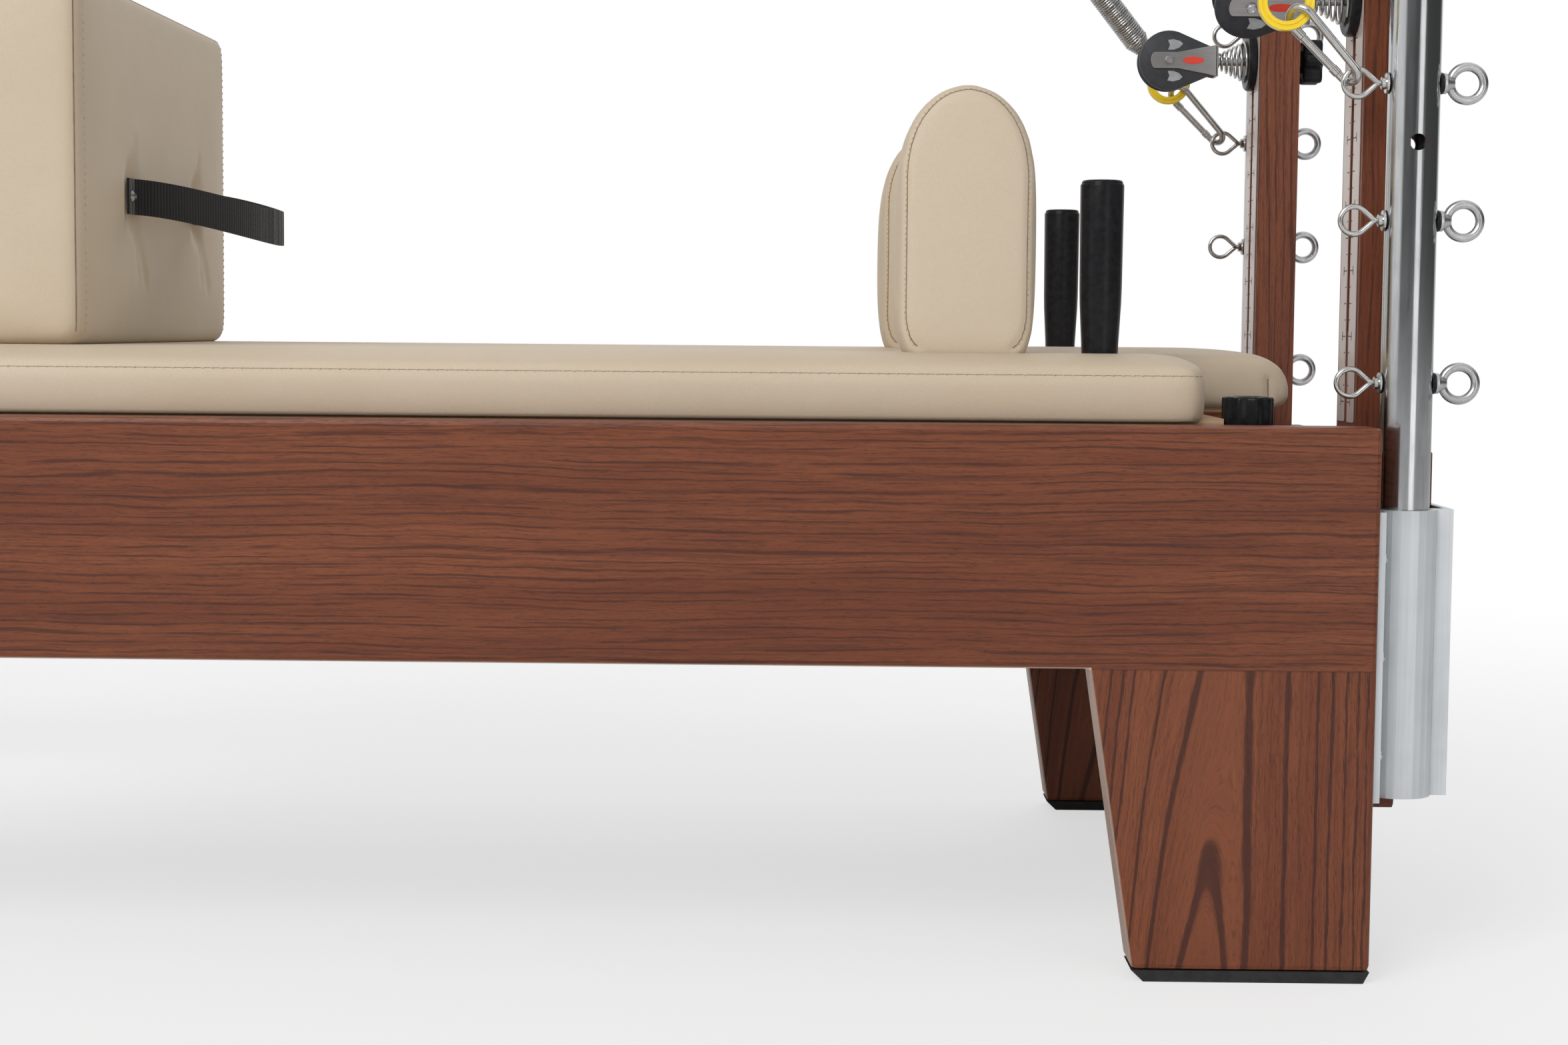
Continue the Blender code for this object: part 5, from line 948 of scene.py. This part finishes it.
def make_block(side, turn):
    """The pulley's cheeks with their fins, the steel strap round them, the bolts and the red ovals."""
    cheek_radius, tail, tail_half = 0.0275, 0.042, 0.013
    tangent = math.degrees(math.acos((cheek_radius - tail_half) / tail))
    cheek = arc(0, 0, cheek_radius, tangent, 360 - tangent, 40)
    cheek += rectangle(0, tail, -tail_half, tail_half, 0.003, 3)[:8]
    strap = arc(-0.013, 0, 0.004, 90, 270, 10, 0.0075)
    strap += [(0.008, -0.0075), (0.0445, -0.0145), (0.0445, 0.0145), (0.008, 0.0075)]
    fin = [(-0.001, 0.0098), (0.0040, 0.0098), (0.0092, 0.0116), (0.0128, 0.0152), (0.0100, 0.0178),
           (0.0040, 0.0194), (-0.0012, 0.0186), (0.0006, 0.0142)]
    dimple = ((0, 0.0146), (0.0019, 0.0146), (0.0022, 0.0150), (0.0030, 0.0150), (0.0034, 0.0144), (0, 0.0144))
    cheeks, fins, arms, bolts, ovals = [], [], [], [], []
    for face in WAYS:
        cheeks.append(plate(face, 0.0070, 0.0100, cheek, 0.0007, 2))
        fins += [plate(face, 0.0098, 0.01015, [(u, up * v) for u, v in fin]) for up in WAYS]
        arms.append(plate(face, 0.01008, 0.0118, strap, 0.0003))
        bolts += [plate(face, 0.0117, 0.0145, arc(0, 0, 0.0044, 0, 300, 5), 0.0004),
                  turned("dimple", [(radius, face * level) for radius, level in dimple], axis=Y, sides=24)]
        ovals.append(plate(face, 0.0117, 0.0122, arc(0.0225, 0, 0.0100, 0, 350, 35, 0.0034), 0.0002))
    bridge = rectangle(-0.0118, 0.0118, -0.0145, 0.0145, 0.0012)
    arms.append(board("bridge", bridge, 0.0432, 0.0455, "YZ", 0.0003, 1))
    stem = [(0, 0.0450), (0.0062, 0.0455), (0.0062, 0.0475), (0.0040, 0.0478), (0.0040, 0.0702), (0, 0.0702)]
    axle = [(0, 0.0104), (0.0040, 0.0104), (0.0040, -0.0104), (0, -0.0104)]
    bolts += [turned("stem", stem, axis=X, sides=24), turned("axle", axle, axis=Y, sides=24)]
    for word, finish, parts in (
        ("cheeks", CHEEK, cheeks), ("cheek_fins", FIN, fins), ("strap", STRAP_STEEL, arms),
        ("bolt", ZINC, bolts), ("ovals", RED, ovals),
    ):
        piece = moved(joined(f"pulley_{word}_{side}", parts), turn)
        dress(piece, finish, f"block_{side}", f"pulley_block_{side}")


def make_clamp(side, centre):
    """The black disc that clamps on the post, its bolt, and the cone spring before it."""
    low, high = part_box(f"pulley_post_{side}")
    face = low.x - GAP
    seat = face - 0.0010  # on the clear strips of the scale
    place = (0, centre.y, centre.z)
    disc = [(0, face - 0.0100), (0.0190, face - 0.0100), (0.0200, face - 0.0086), (0.0255, face - 0.0080),
            (0.0270, face - 0.0062), (0.0270, face - 0.0018), (0.0262, seat), (0, seat)]
    bolt = [(0, seat), (0.0040, seat), (0.0040, high.x + 0.020), (0, high.x + 0.020)]
    start = Vector((centre.x + 0.0478, centre.y, centre.z))
    end = Vector((face - 0.0092, centre.y, centre.z))
    for piece, finish in (
        (turned(f"clamp_disc_{side}", disc, place, X, 64), PLASTIC),
        (turned(f"clamp_bolt_{side}", bolt, place, X, 24), ZINC),
        (coil(f"clamp_spring_{side}", start, end, (0.0068, 0.0188), 0.0010, 5.5, 28, 10), WIRE),
    ):
        dress(piece, finish, f"clamp_{side}", f"pulley_clamp_{side}")


def make_knob(side, centre):
    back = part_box(f"pulley_post_{side}")[1].x + GAP
    star = board("star", lobed(0.0225, 0.0034, 6, 12), back + 0.007, back + 0.025, "YZ", 0.0028, 3)
    recess = turned("recess", [(0, 0.0256), (0.0085, 0.0256), (0.0095, 0.0248), (0.0095, 0.0240), (0, 0.0240)],
                    (back, 0, 0), X, 40)
    neck = turned("neck", [(0.0045, 0.0002), (0.0100, 0.0002), (0.0104, 0.0010), (0.0100, 0.0050),
                           (0.0125, 0.0078), (0.0045, 0.0078), (0.0045, 0.0002)], (back, 0, 0), X, 40)
    place = Matrix.Translation((0, centre.y, centre.z))
    knob = moved(joined(f"star_knob_{side}", [star, recess, neck]), place)
    dress(knob, PLASTIC, f"knob_{side}", f"clamp_knob_{side}")


def make_footbar():
    lean = math.radians(15)
    half_span, reach, bend, radius = 0.292, 0.360, 0.070, 0.016
    pivot = Vector(JOINTS["footbar_swing"]["pos_m"])
    up = Vector((-math.sin(lean), 0, math.cos(lean)))
    path = arch(half_span, -0.028, reach, bend, lambda u, v: pivot + Y * u + up * v)
    dress(swept("footbar_tube", path, radius, 40), BLACK_STEEL, "footbar_body", "footbar")
    inner, outer, ribs = 0.0163, 0.0213, 60
    end = [(inner, 0.180), (outer - 0.0015, 0.180), (outer, 0.1785)]
    ribbed = []
    for i in range(ribs):
        y = 0.1740 - 0.348 * i / (ribs - 1)
        ribbed += [(outer, y + 0.0016), (outer - 0.0005, y)]
    foam = turned("footbar_foam", [*end, *ribbed, *mirrored(end), end[0]], pivot + up * reach, Y)
    dress(foam, FOAM, "footbar_body", "footbar_grip")


def make_carriage_springs():
    """The springs under the carriage, hooked over the spring bar at their near ends."""
    radius, wire, pitch, length = 0.014, 0.0014, 0.0030, 0.490
    bar_low, bar_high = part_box("spring_bar")
    bar_x, z = (bar_low.x + bar_high.x) / 2, (bar_low.z + bar_high.z) / 2
    for number in range(1, 5):
        node = f"carriage_spring_{number}"
        low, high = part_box(node)
        y = (low.y + high.y) / 2
        place = Vector((0, y, 0))
        start, end = Vector((bar_x + 0.026, y, z)), Vector((bar_x + length, y, z))
        hook = upright(place, arc(bar_x, z, 0.0119, 205, 20, 18))
        eye = upright(place, arc(end.x + 0.018, z, 0.010, 150, -110, 20))
        turns = (end - start).length / pitch
        parts = [
            coil("coil", start, end, (radius - wire, radius - wire), wire, turns, 12, 6),
            swept("hook", [*hook, start - X * 0.006, start + X * 0.002], 0.0016, 10),
            swept("eye", [end - X * 0.002, end + X * 0.005, *eye], 0.0016, 10),
        ]
        for x, way in ((start.x, -1), (end.x, 1)):
            plug = [(0, x + way * 0.001), (0.0105, x + way * 0.001), (0.0112, x), (0.0112, x - way * 0.006),
                    (0, x - way * 0.006)]
            parts.append(turned("plug", plug, (0, y, z), X, 24))
        dress(joined(f"carriage_coil_{number}", parts, 60), SPRING, "frame", node)


def point_tree(points):
    tree = KDTree(len(points))
    for i, point in enumerate(points):
        tree.insert(point, i)
    tree.balance()
    return tree


def stuffed(piece, voxel, cap, foot, hem, points=(), reach=0.0):
    """Presses a closed form out as cloth, no point of it further than the cap or below the foot.

    The hem above the foot stays where it is, and so does what lies within reach of a seam's points.
    """
    remesh = piece.modifiers.new("even", "REMESH")
    remesh.mode = "VOXEL"
    remesh.voxel_size = voxel
    mesh = applied(piece).data
    steps = 20
    rest = [corner.co.copy() for corner in mesh.vertices]
    seam = point_tree(points)
    held = [i for i, co in enumerate(rest) if co.z < foot + hem or (points and seam.find(co)[2] < reach)]
    piece.vertex_groups.new(name="seams").add(held, 1.0, "REPLACE")
    cloth = piece.modifiers.new("stuffing", "CLOTH")
    cloth.settings.use_pressure = True
    cloth.settings.uniform_pressure_force = 4.0
    cloth.settings.effector_weights.gravity = 0.0
    cloth.settings.vertex_group_mass = "seams"
    cloth.point_cache.frame_start, cloth.point_cache.frame_end = 1, steps
    for number in range(1, steps + 1):
        bpy.context.scene.frame_set(number)
    blown = evaluated(piece)
    for corner, start, end in zip(mesh.vertices, rest, blown.vertices):
        step = end.co - start
        corner.co = start + step * min(1.0, cap / max(step.length, 0.000001))
    piece.modifiers.clear()
    bpy.context.scene.frame_set(1)
    smooth = piece.modifiers.new("smooth", "CORRECTIVE_SMOOTH")
    smooth.iterations = 5
    smooth.use_only_smooth = True
    smooth.rest_source = "ORCO"
    finer = piece.modifiers.new("finer", "SUBSURF")
    finer.levels = finer.render_levels = 1
    applied(piece).data.shade_smooth()
    for corner in piece.data.vertices:
        corner.co.z = max(corner.co.z, foot)


def pressed(piece, points, depth, reach):
    """Draws the cover in along a sewn line."""
    line = point_tree(points)
    normals = [corner.normal.copy() for corner in piece.data.vertices]
    for corner, normal in zip(piece.data.vertices, normals):
        distance = line.find(corner.co)[2]
        if distance < reach:
            share = 0.5 + 0.5 * math.cos(math.pi * distance / reach)
            corner.co -= normal * depth * share
    piece.data.update()


def resampled(points, pitch):
    """Points at an even pitch along a line."""
    points = [Vector(point) for point in points]
    made, left = [points[0].copy()], pitch
    for start, end in zip(points, points[1:]):
        length = (end - start).length
        while length > left:
            start = start + (end - start) * (left / length)
            made.append(start.copy())
            length -= left
            left = pitch
        left -= length
    return made


def laid(points, piece):
    """The nearest places on a cover, with the outward direction there."""
    tree = BVHTree.FromObject(piece, bpy.context.evaluated_depsgraph_get())
    found = [tree.find_nearest(point) for point in points]
    return [(place, normal) for place, normal, _, _ in found if place is not None]


def sewn(name, piece, body, path, pitch, thread=0.0, join=0.0, offset=0.0):
    """A sewn line on a cover: the closed join as a fine dark line of painted shade, sunk a little into the
    cover, and the thread's stitches along it.
    """
    line = laid(resampled(path, pitch / 2), piece)
    if join:
        # a dark wire sunk a little into the cover along the seam: painted shade in its groove
        wire = swept(f"{name}_join", [place - normal * join * 0.35 for place, normal in line], join, 6)
        dress(wire, SEAM_SHADE, body)
    if thread:
        paths = []
        for (first, up), (last, _) in zip(line[:-2:2], line[1::2]):
            way = (last - first).normalized()
            aside = way.cross(up).normalized() * offset
            low = first + aside + way * pitch * 0.04
            high = last + aside + way * pitch * 0.18
            middle = (low + high) / 2 + up * thread * 0.9
            paths.append((low - up * thread * 0.5, middle, high - up * thread * 0.5))
        stitches(f"{name}_stitches", paths, thread, body)


def stitches(name, paths, radius, body):
    """Spindles of thread, each by its two ends and its middle."""
    sides = 6
    points, faces = [], []
    for low, middle, high in paths:
        across, other = square_to((high - low).normalized())
        base = len(points)
        points += [low, high, *(around(middle, radius, math.pi / 3 * i, across, other) for i in range(sides))]
        for i in range(sides):
            one, after = base + 2 + i, base + 2 + (i + 1) % sides
            faces += [(base, after, one), (base + 1, one, after)]
    mesh = plain_mesh(name, points, faces)
    dress(linked(name, smoothed(mesh, 80)), THREAD, body)


def make_carriage_pad():
    low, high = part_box("carriage_pad")
    head_low, head_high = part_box("headrest_pad")
    margin, corner, small = 0.0015, 0.022, 0.012
    half, notch, notch_x = high.y - margin, head_high.y + 0.0090, head_low.x - 0.021
    left, right = low.x + margin, high.x - margin

    def outline(inset):
        """The cover's outline seen from above, round the notch that the headrest stands in."""
        far, edge = right - inset, half - inset
        return (
            arc(left + inset + corner, edge - corner, corner, 180, 90, 8)
            + arc(far - corner, edge - corner, corner, 90, 0, 8)
            + arc(far - small, notch + inset + small, small, 0, -90, 4)
            + [(notch_x - inset, notch + inset), (notch_x - inset, -notch - inset)]
            + arc(far - small, -notch - inset - small, small, 90, 0, 4)
            + arc(far - corner, corner - edge, corner, 0, -90, 8)
            + arc(left + inset + corner, corner - edge, corner, -90, -180, 8)
        )

    foot, rounding = low.z - 0.0026, 0.0075
    pad = board("carriage_cover", outline(0), foot - rounding, high.z - 0.0012, "XY", rounding, 3)
    seam_z = high.z - (high.z - low.z) * 0.27
    loop = [Vector((u, v, seam_z)) for u, v in outline(-0.0005)]
    path = resampled([*loop, loop[0]], 0.004)
    stuffed(pad, 0.008, 0.0035, foot, 0.003, path, 0.006)
    pressed(pad, path, 0.0010, 0.007)
    dress(pad, LEATHER, "carriage", "carriage_pad")
    sewn("carriage_cover", pad, "carriage", path, pitch=0.0072, thread=0.00055, join=0.00028)


def make_headrest():
    low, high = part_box("headrest_pad")
    foot, top = low.z + 0.0003, high.z - 0.0015
    left, right, half = low.x + 0.001, high.x - 0.001, high.y - 0.0015
    back, front = 0.030, 0.024
    outline = (
        [(left, foot), (right - 0.004, foot), (right, foot + 0.006)]
        + arc(right - back, top - back, back, 0, 90, 10)
        + arc(left + front, top - front, front, 90, 180, 8)
    )
    pad = board("headrest_cover", outline, -half, half, "XZ", 0.009, 3)
    rims = [Vector((u, y, v)) for y in (0.007 - half, half - 0.007) for u, v in outline[3:]]
    stuffed(pad, 0.005, 0.0035, foot, 0.006, resampled(rims, 0.003), 0.004)
    crease_x = HEAD_X - 0.0465
    for sign, side in SIDES:
        y = sign * half
        ends = [Vector((crease_x, y, top - 0.020)), Vector((crease_x + 0.0014, y, foot + 0.010))]
        crease = resampled(ends, 0.001)
        pressed(pad, crease, 0.0022, 0.0045)
        # a thin dark wire laid in each pressed crease, as painted shade
        line = [place - normal * 0.0002 for place, normal in laid(crease, pad)]
        dress(swept(f"headrest_crease_shade_{side}", line, 0.0006, 8), SEAM_SHADE, "headrest")
    dress(pad, LEATHER, "headrest", "headrest_pad")


def make_rest_bracket(side, foot, x, y):
    """The steel plate that the cover's foot wraps round, and its two pins."""
    low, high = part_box(f"shoulder_bracket_{side}")
    outline = rectangle(x - 0.030, x + 0.030, y - 0.026, y + 0.026, 0.004)
    pin = [(0, high.z - 0.001), (0.008, high.z - 0.001), (0.008, low.z + 0.0015), (0.0065, low.z), (0, low.z)]
    parts = [board("plate", outline, foot, high.z, "XY", 0.0006, 1)]
    parts += [turned("pin", pin, (x + way * 0.028, y, 0), sides=32) for way in WAYS]
    dress(joined(f"shoulder_plate_{side}", parts), ZINC, f"shoulder_{side}", f"shoulder_bracket_{side}")


def make_shoulder_rests():
    crown, foot_width, foot_height = 0.067, 0.015, 0.028
    for _, side in SIDES:
        low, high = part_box(f"shoulder_rest_{side}")
        middle, y = (low.x + high.x) / 2, (low.y + high.y) / 2
        half, depth = (high.x - low.x) / 2, (high.y - low.y) / 2 - 0.004
        foot, top = low.z, high.z - 0.001

        def outline(inset):
            """The rest's outline seen from the side: round feet, and a crown that is half an ellipse."""
            reach, z = half - 0.002 - inset, foot + inset + foot_height
            return (
                arc(middle + reach - foot_width, z, foot_width, -90, 0, 6, foot_height)
                + arc(middle, top - crown, reach, 0, 180, 28, crown - inset * 0.4)
                + arc(middle - reach + foot_width, z, foot_width, 180, 270, 6, foot_height)
            )

        body = f"shoulder_{side}"
        lowered = [(u, v - 0.006 if v < foot + foot_height else v) for u, v in outline(0)]
        rest = board(f"shoulder_rest_cover_{side}", lowered, y - depth, y + depth, "XZ", 0.0085, 4)
        seams = [[Vector((u, y + way * depth, v)) for u, v in outline(0.0045)[1:-1]] for way in WAYS]
        points = [point for line in seams for point in resampled(line, 0.002)]
        stuffed(rest, 0.005, 0.0065, foot, 0.004, points, 0.0035)
        pressed(rest, points, 0.0013, 0.006)
        dress(rest, LEATHER, body, f"shoulder_rest_{side}")
        make_rest_bracket(side, foot, middle, y)
        for word, line in zip(("near", "far"), seams):
            sewn(f"shoulder_{word}_seam_{side}", rest, body, line,
                 pitch=0.0042, thread=0.00035, join=0.00055, offset=0.0011)


def draw_in_strap(box):
    """Presses the end face of the box in where the hand loop is screwed on, with a few slack folds below."""
    low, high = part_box("box_strap")
    face, z = LOOP_FACE, LOOP_Z
    for sign in WAYS:
        y = sign * ((high.y - low.y) / 2 - 0.010)
        tab = resampled([Vector((face, y, z - 0.013)), Vector((face, y, z + 0.013))], 0.002)
        pressed(box, tab, 0.0050, 0.030)
        for across, down in ((0.022, 0.062), (0.048, 0.070), (0.012, -0.046)):
            fold = [Vector((face, y + 0.004, z)), Vector((face, y + across * 0.4, z - down * 0.5)),
                    Vector((face, y + across, z - down))]
            pressed(box, resampled(fold, 0.003), 0.0018, 0.011)


def make_box():
    low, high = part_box("sitting_box")
    inset = 0.0015
    core_low, core_high = low + Vector((inset, inset, 0)), high - Vector((inset, inset, inset))
    box = board("box_cover", footprint(core_low, core_high, 0, 0.007), core_low.z, core_high.z, "XY", 0.007, 3)
    edges = [[Vector((x, y, core_low.z + 0.01)), Vector((x, y, core_high.z - 0.006))]
             for x in (core_low.x + 0.0035, core_high.x - 0.0035)
             for y in (core_low.y + 0.0035, core_high.y - 0.0035)]
    rim = [Vector((u, v, core_high.z - 0.003)) for u, v in footprint(core_low, core_high, 0.003, 0.010)]
    rim.append(rim[0])
    points = [point for line in [*edges, rim] for point in resampled(line, 0.004)]
    stuffed(box, 0.008, 0.0040, low.z, 0.004, points, 0.008)
    draw_in_strap(box)
    dress(box, LEATHER, "box", "sitting_box")
    for number, edge in enumerate(edges, 1):
        out_x = -1 if edge[0].x < (low.x + high.x) / 2 else 1
        out_y = -1 if edge[0].y < 0 else 1
        corner = [point + Vector((out_x, out_y, 0)) * 0.003 for point in edge]
        beside = [point + Vector((out_x * 0.006, -out_y * 0.012, 0)) for point in edge]
        sewn(f"box_corner_{number}", box, "box", corner, pitch=0.024, join=0.0008)
        sewn(f"box_edge_{number}", box, "box", beside, **EVEN_STITCH)
    sewn("box_rim", box, "box", rim, **EVEN_STITCH, join=0.0005)


def make_strap():
    """The box's webbing hand loop, ribbed across, with a screw through each of its ends."""
    low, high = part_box("box_strap")
    face, z = LOOP_FACE, LOOP_Z
    proud, drop, rib = 0.0014, 0.021, 0.0011
    reach, half = high.x - face - proud, (high.y - low.y) / 2
    span = half - 0.020
    bow = [(proud, -half), (proud, -span - 0.002)] + arc(0, 0, reach, -84, 84, 28, span)
    bow += [(proud, span + 0.002), (proud, half + 0.0011)]
    path = resampled([Vector((face + out, y, 0)) for out, y in bow], rib)
    section = ((1, -0.0145), (1.1, -0.0130), (1.1, 0.0130), (1, 0.0145), (-1, 0.0145), (-1, -0.0145))
    points = []
    for row, place in enumerate(path):
        way = path[min(row + 1, len(path) - 1)] - path[max(row - 1, 0)]
        outward = way.cross(Z).normalized() * (0.0009 + 0.0003 * (row % 2))
        level = z - drop * (max(place.x - face, 0) / reach) ** 1.5
        points += [place + outward * out + Z * (level + up) for out, up in section]
    loop = shaped("hand_loop", points, skin(len(path), len(section), "capped"), 60)
    dress(loop, WEBBING, "box", "box_strap")
    seat = face + 0.0024
    head = [(0, seat + 0.0010), (0.0012, seat + 0.0010), (0.0016, seat + 0.0030), (0.0032, seat + 0.0026),
            (0.0050, seat + 0.0008), (0.0052, seat - 0.0006), (0, seat - 0.0006)]
    screws = [turned("screw", head, (0, sign * (span + 0.010), z), X, 32) for sign in WAYS]
    dress(joined("loop_screws", screws), ZINC, "box")


def make_standing_pad():
    low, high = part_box("standing_pad")
    pad = board("standing_cover", footprint(low, high, 0.001, 0.010), low.z, high.z - 0.001, "XY", 0.004, 3)
    stuffed(pad, 0.006, 0.0015, low.z, 0.003)
    dress(pad, LEATHER, "frame", "standing_pad")
    rim = [Vector((u, v, high.z - 0.002)) for u, v in footprint(low, high, 0.008, 0.008)]
    sewn("standing_cover", pad, "frame", [*rim, rim[0]], **EVEN_STITCH)


def make_camera():
    """The photograph's view: from beside the head end, level with the carriage, turned a little to the left."""
    yaw, pitch, roll = 0.00961, 0.07537, -0.00865
    place = (HEAD_X - 0.4112, -2.2151, 0.4735)
    forward = Vector((-math.sin(yaw) * math.cos(pitch), math.cos(yaw) * math.cos(pitch), -math.sin(pitch)))
    right = Vector((math.cos(yaw), math.sin(yaw), 0))
    up = right.cross(forward)
    tilted_right = right * math.cos(roll) - up * math.sin(roll)
    tilted_up = right * math.sin(roll) + up * math.cos(roll)
    lens = bpy.data.cameras.new("view")
    lens.sensor_width = SENSOR_WIDTH
    lens.lens = FOCAL_PIXELS / PHOTO_WIDTH * SENSOR_WIDTH
    lens.clip_start, lens.clip_end = 0.05, 60
    camera = linked("view", lens)
    turn = Matrix((tilted_right, tilted_up, -forward)).transposed().to_4x4()
    camera.matrix_world = Matrix.Translation(place) @ turn
    bpy.context.scene.camera = camera


def make_lamp(name, place, target, width, height, power, glossy=True):
    light = bpy.data.lights.new(name, "AREA")
    light.shape = "RECTANGLE"
    light.size, light.size_y = width, height
    light.energy = power
    lamp = linked(name, light)
    lamp.location = place
    lamp.rotation_mode = "QUATERNION"
    lamp.rotation_quaternion = (Vector(target) - Vector(place)).to_track_quat("-Z", "Y")
    lamp.visible_glossy = glossy


def make_world():
    """A white surround as the camera and glass see it. Metal sees it bright at the left and dark elsewhere."""
    world = bpy.data.worlds.new("studio")
    bpy.context.scene.world = world
    world.use_nodes = True
    made = Tree(world.node_tree, "Background")
    made.shader.inputs["Color"].default_value = WHITE
    x, y, z = made.split(made.node("TexCoord", {}, {}, "Generated"))
    sideways = x.eased(-0.86, -0.74, 0.88, 0.06)
    upward = made.mixed(z.eased(0.25, 0.85), sideways, 0.85)
    metal_sees = made.mixed(y.eased(0.45, 0.90), upward, 0.95)
    lit = made.mixed(made.ray("Glossy"), SURROUND, metal_sees)
    seen = made.maths("MAXIMUM", made.ray("Camera"), made.ray("Transmission"))
    made.feed("Strength", made.mixed(seen, lit, 1.0))


def make_floor():
    """A white floor that keeps the object's shadow, and that passes into the white surround further out."""
    half = 30
    corners = [(-half, -half, 0), (half, -half, 0), (half, half, 0), (-half, half, 0)]
    floor = linked("floor", plain_mesh("floor", corners, [(0, 1, 2, 3)]))
    made = Finish("white_floor", None, base_color=(0.80, 0.80, 0.80, 1), roughness=0.9)
    glow = made.node("Emission", {}, {"Color": WHITE, "Strength": 1.0}, 0)
    distance = made.node("VectorMath", {"operation": "LENGTH"}, {0: made.place}, "Value")
    share = made.ray("Camera") * distance.eased(1.3, 3.2, 0.62, 1.0)
    matt = Value(made, made.shader.outputs[0])
    surface = made.node("MixShader", {}, {0: share, 1: matt, 2: glow}, 0)
    made.tree.links.new(surface.socket, made.tree.nodes["Material Output"].inputs["Surface"])
    floor.data.materials.append(made.material)


def make_studio():
    make_world()
    make_floor()
    make_lamp("key", (-1.6, -4.2, 3.4), (0.6, 0, 0.5), 3.0, 2.4, 165)
    make_lamp("strip", (2.44, -3.6, 0.9), (1.186, 0, 0.6), 1.4, 3.2, 16)
    make_lamp("back", (1.0, 4.2, 3.2), (0.6, 0, 0.5), 3.5, 2.0, 70, glossy=False)
    bpy.context.scene.view_settings.view_transform = "Standard"


make_camera()
refinish_nodes()
make_hand_posts()
make_tracks()
make_wheels()
make_tower_tube()
make_eyes()
make_bar_pivots()
make_socket_screws()
make_scales()
make_hooks_and_rings()
make_push_bar()
make_tower_springs()
make_pulleys()
make_footbar()
make_carriage_springs()
make_carriage_pad()
make_headrest()
make_shoulder_rests()
make_box()
make_strap()
make_standing_pad()
make_studio()
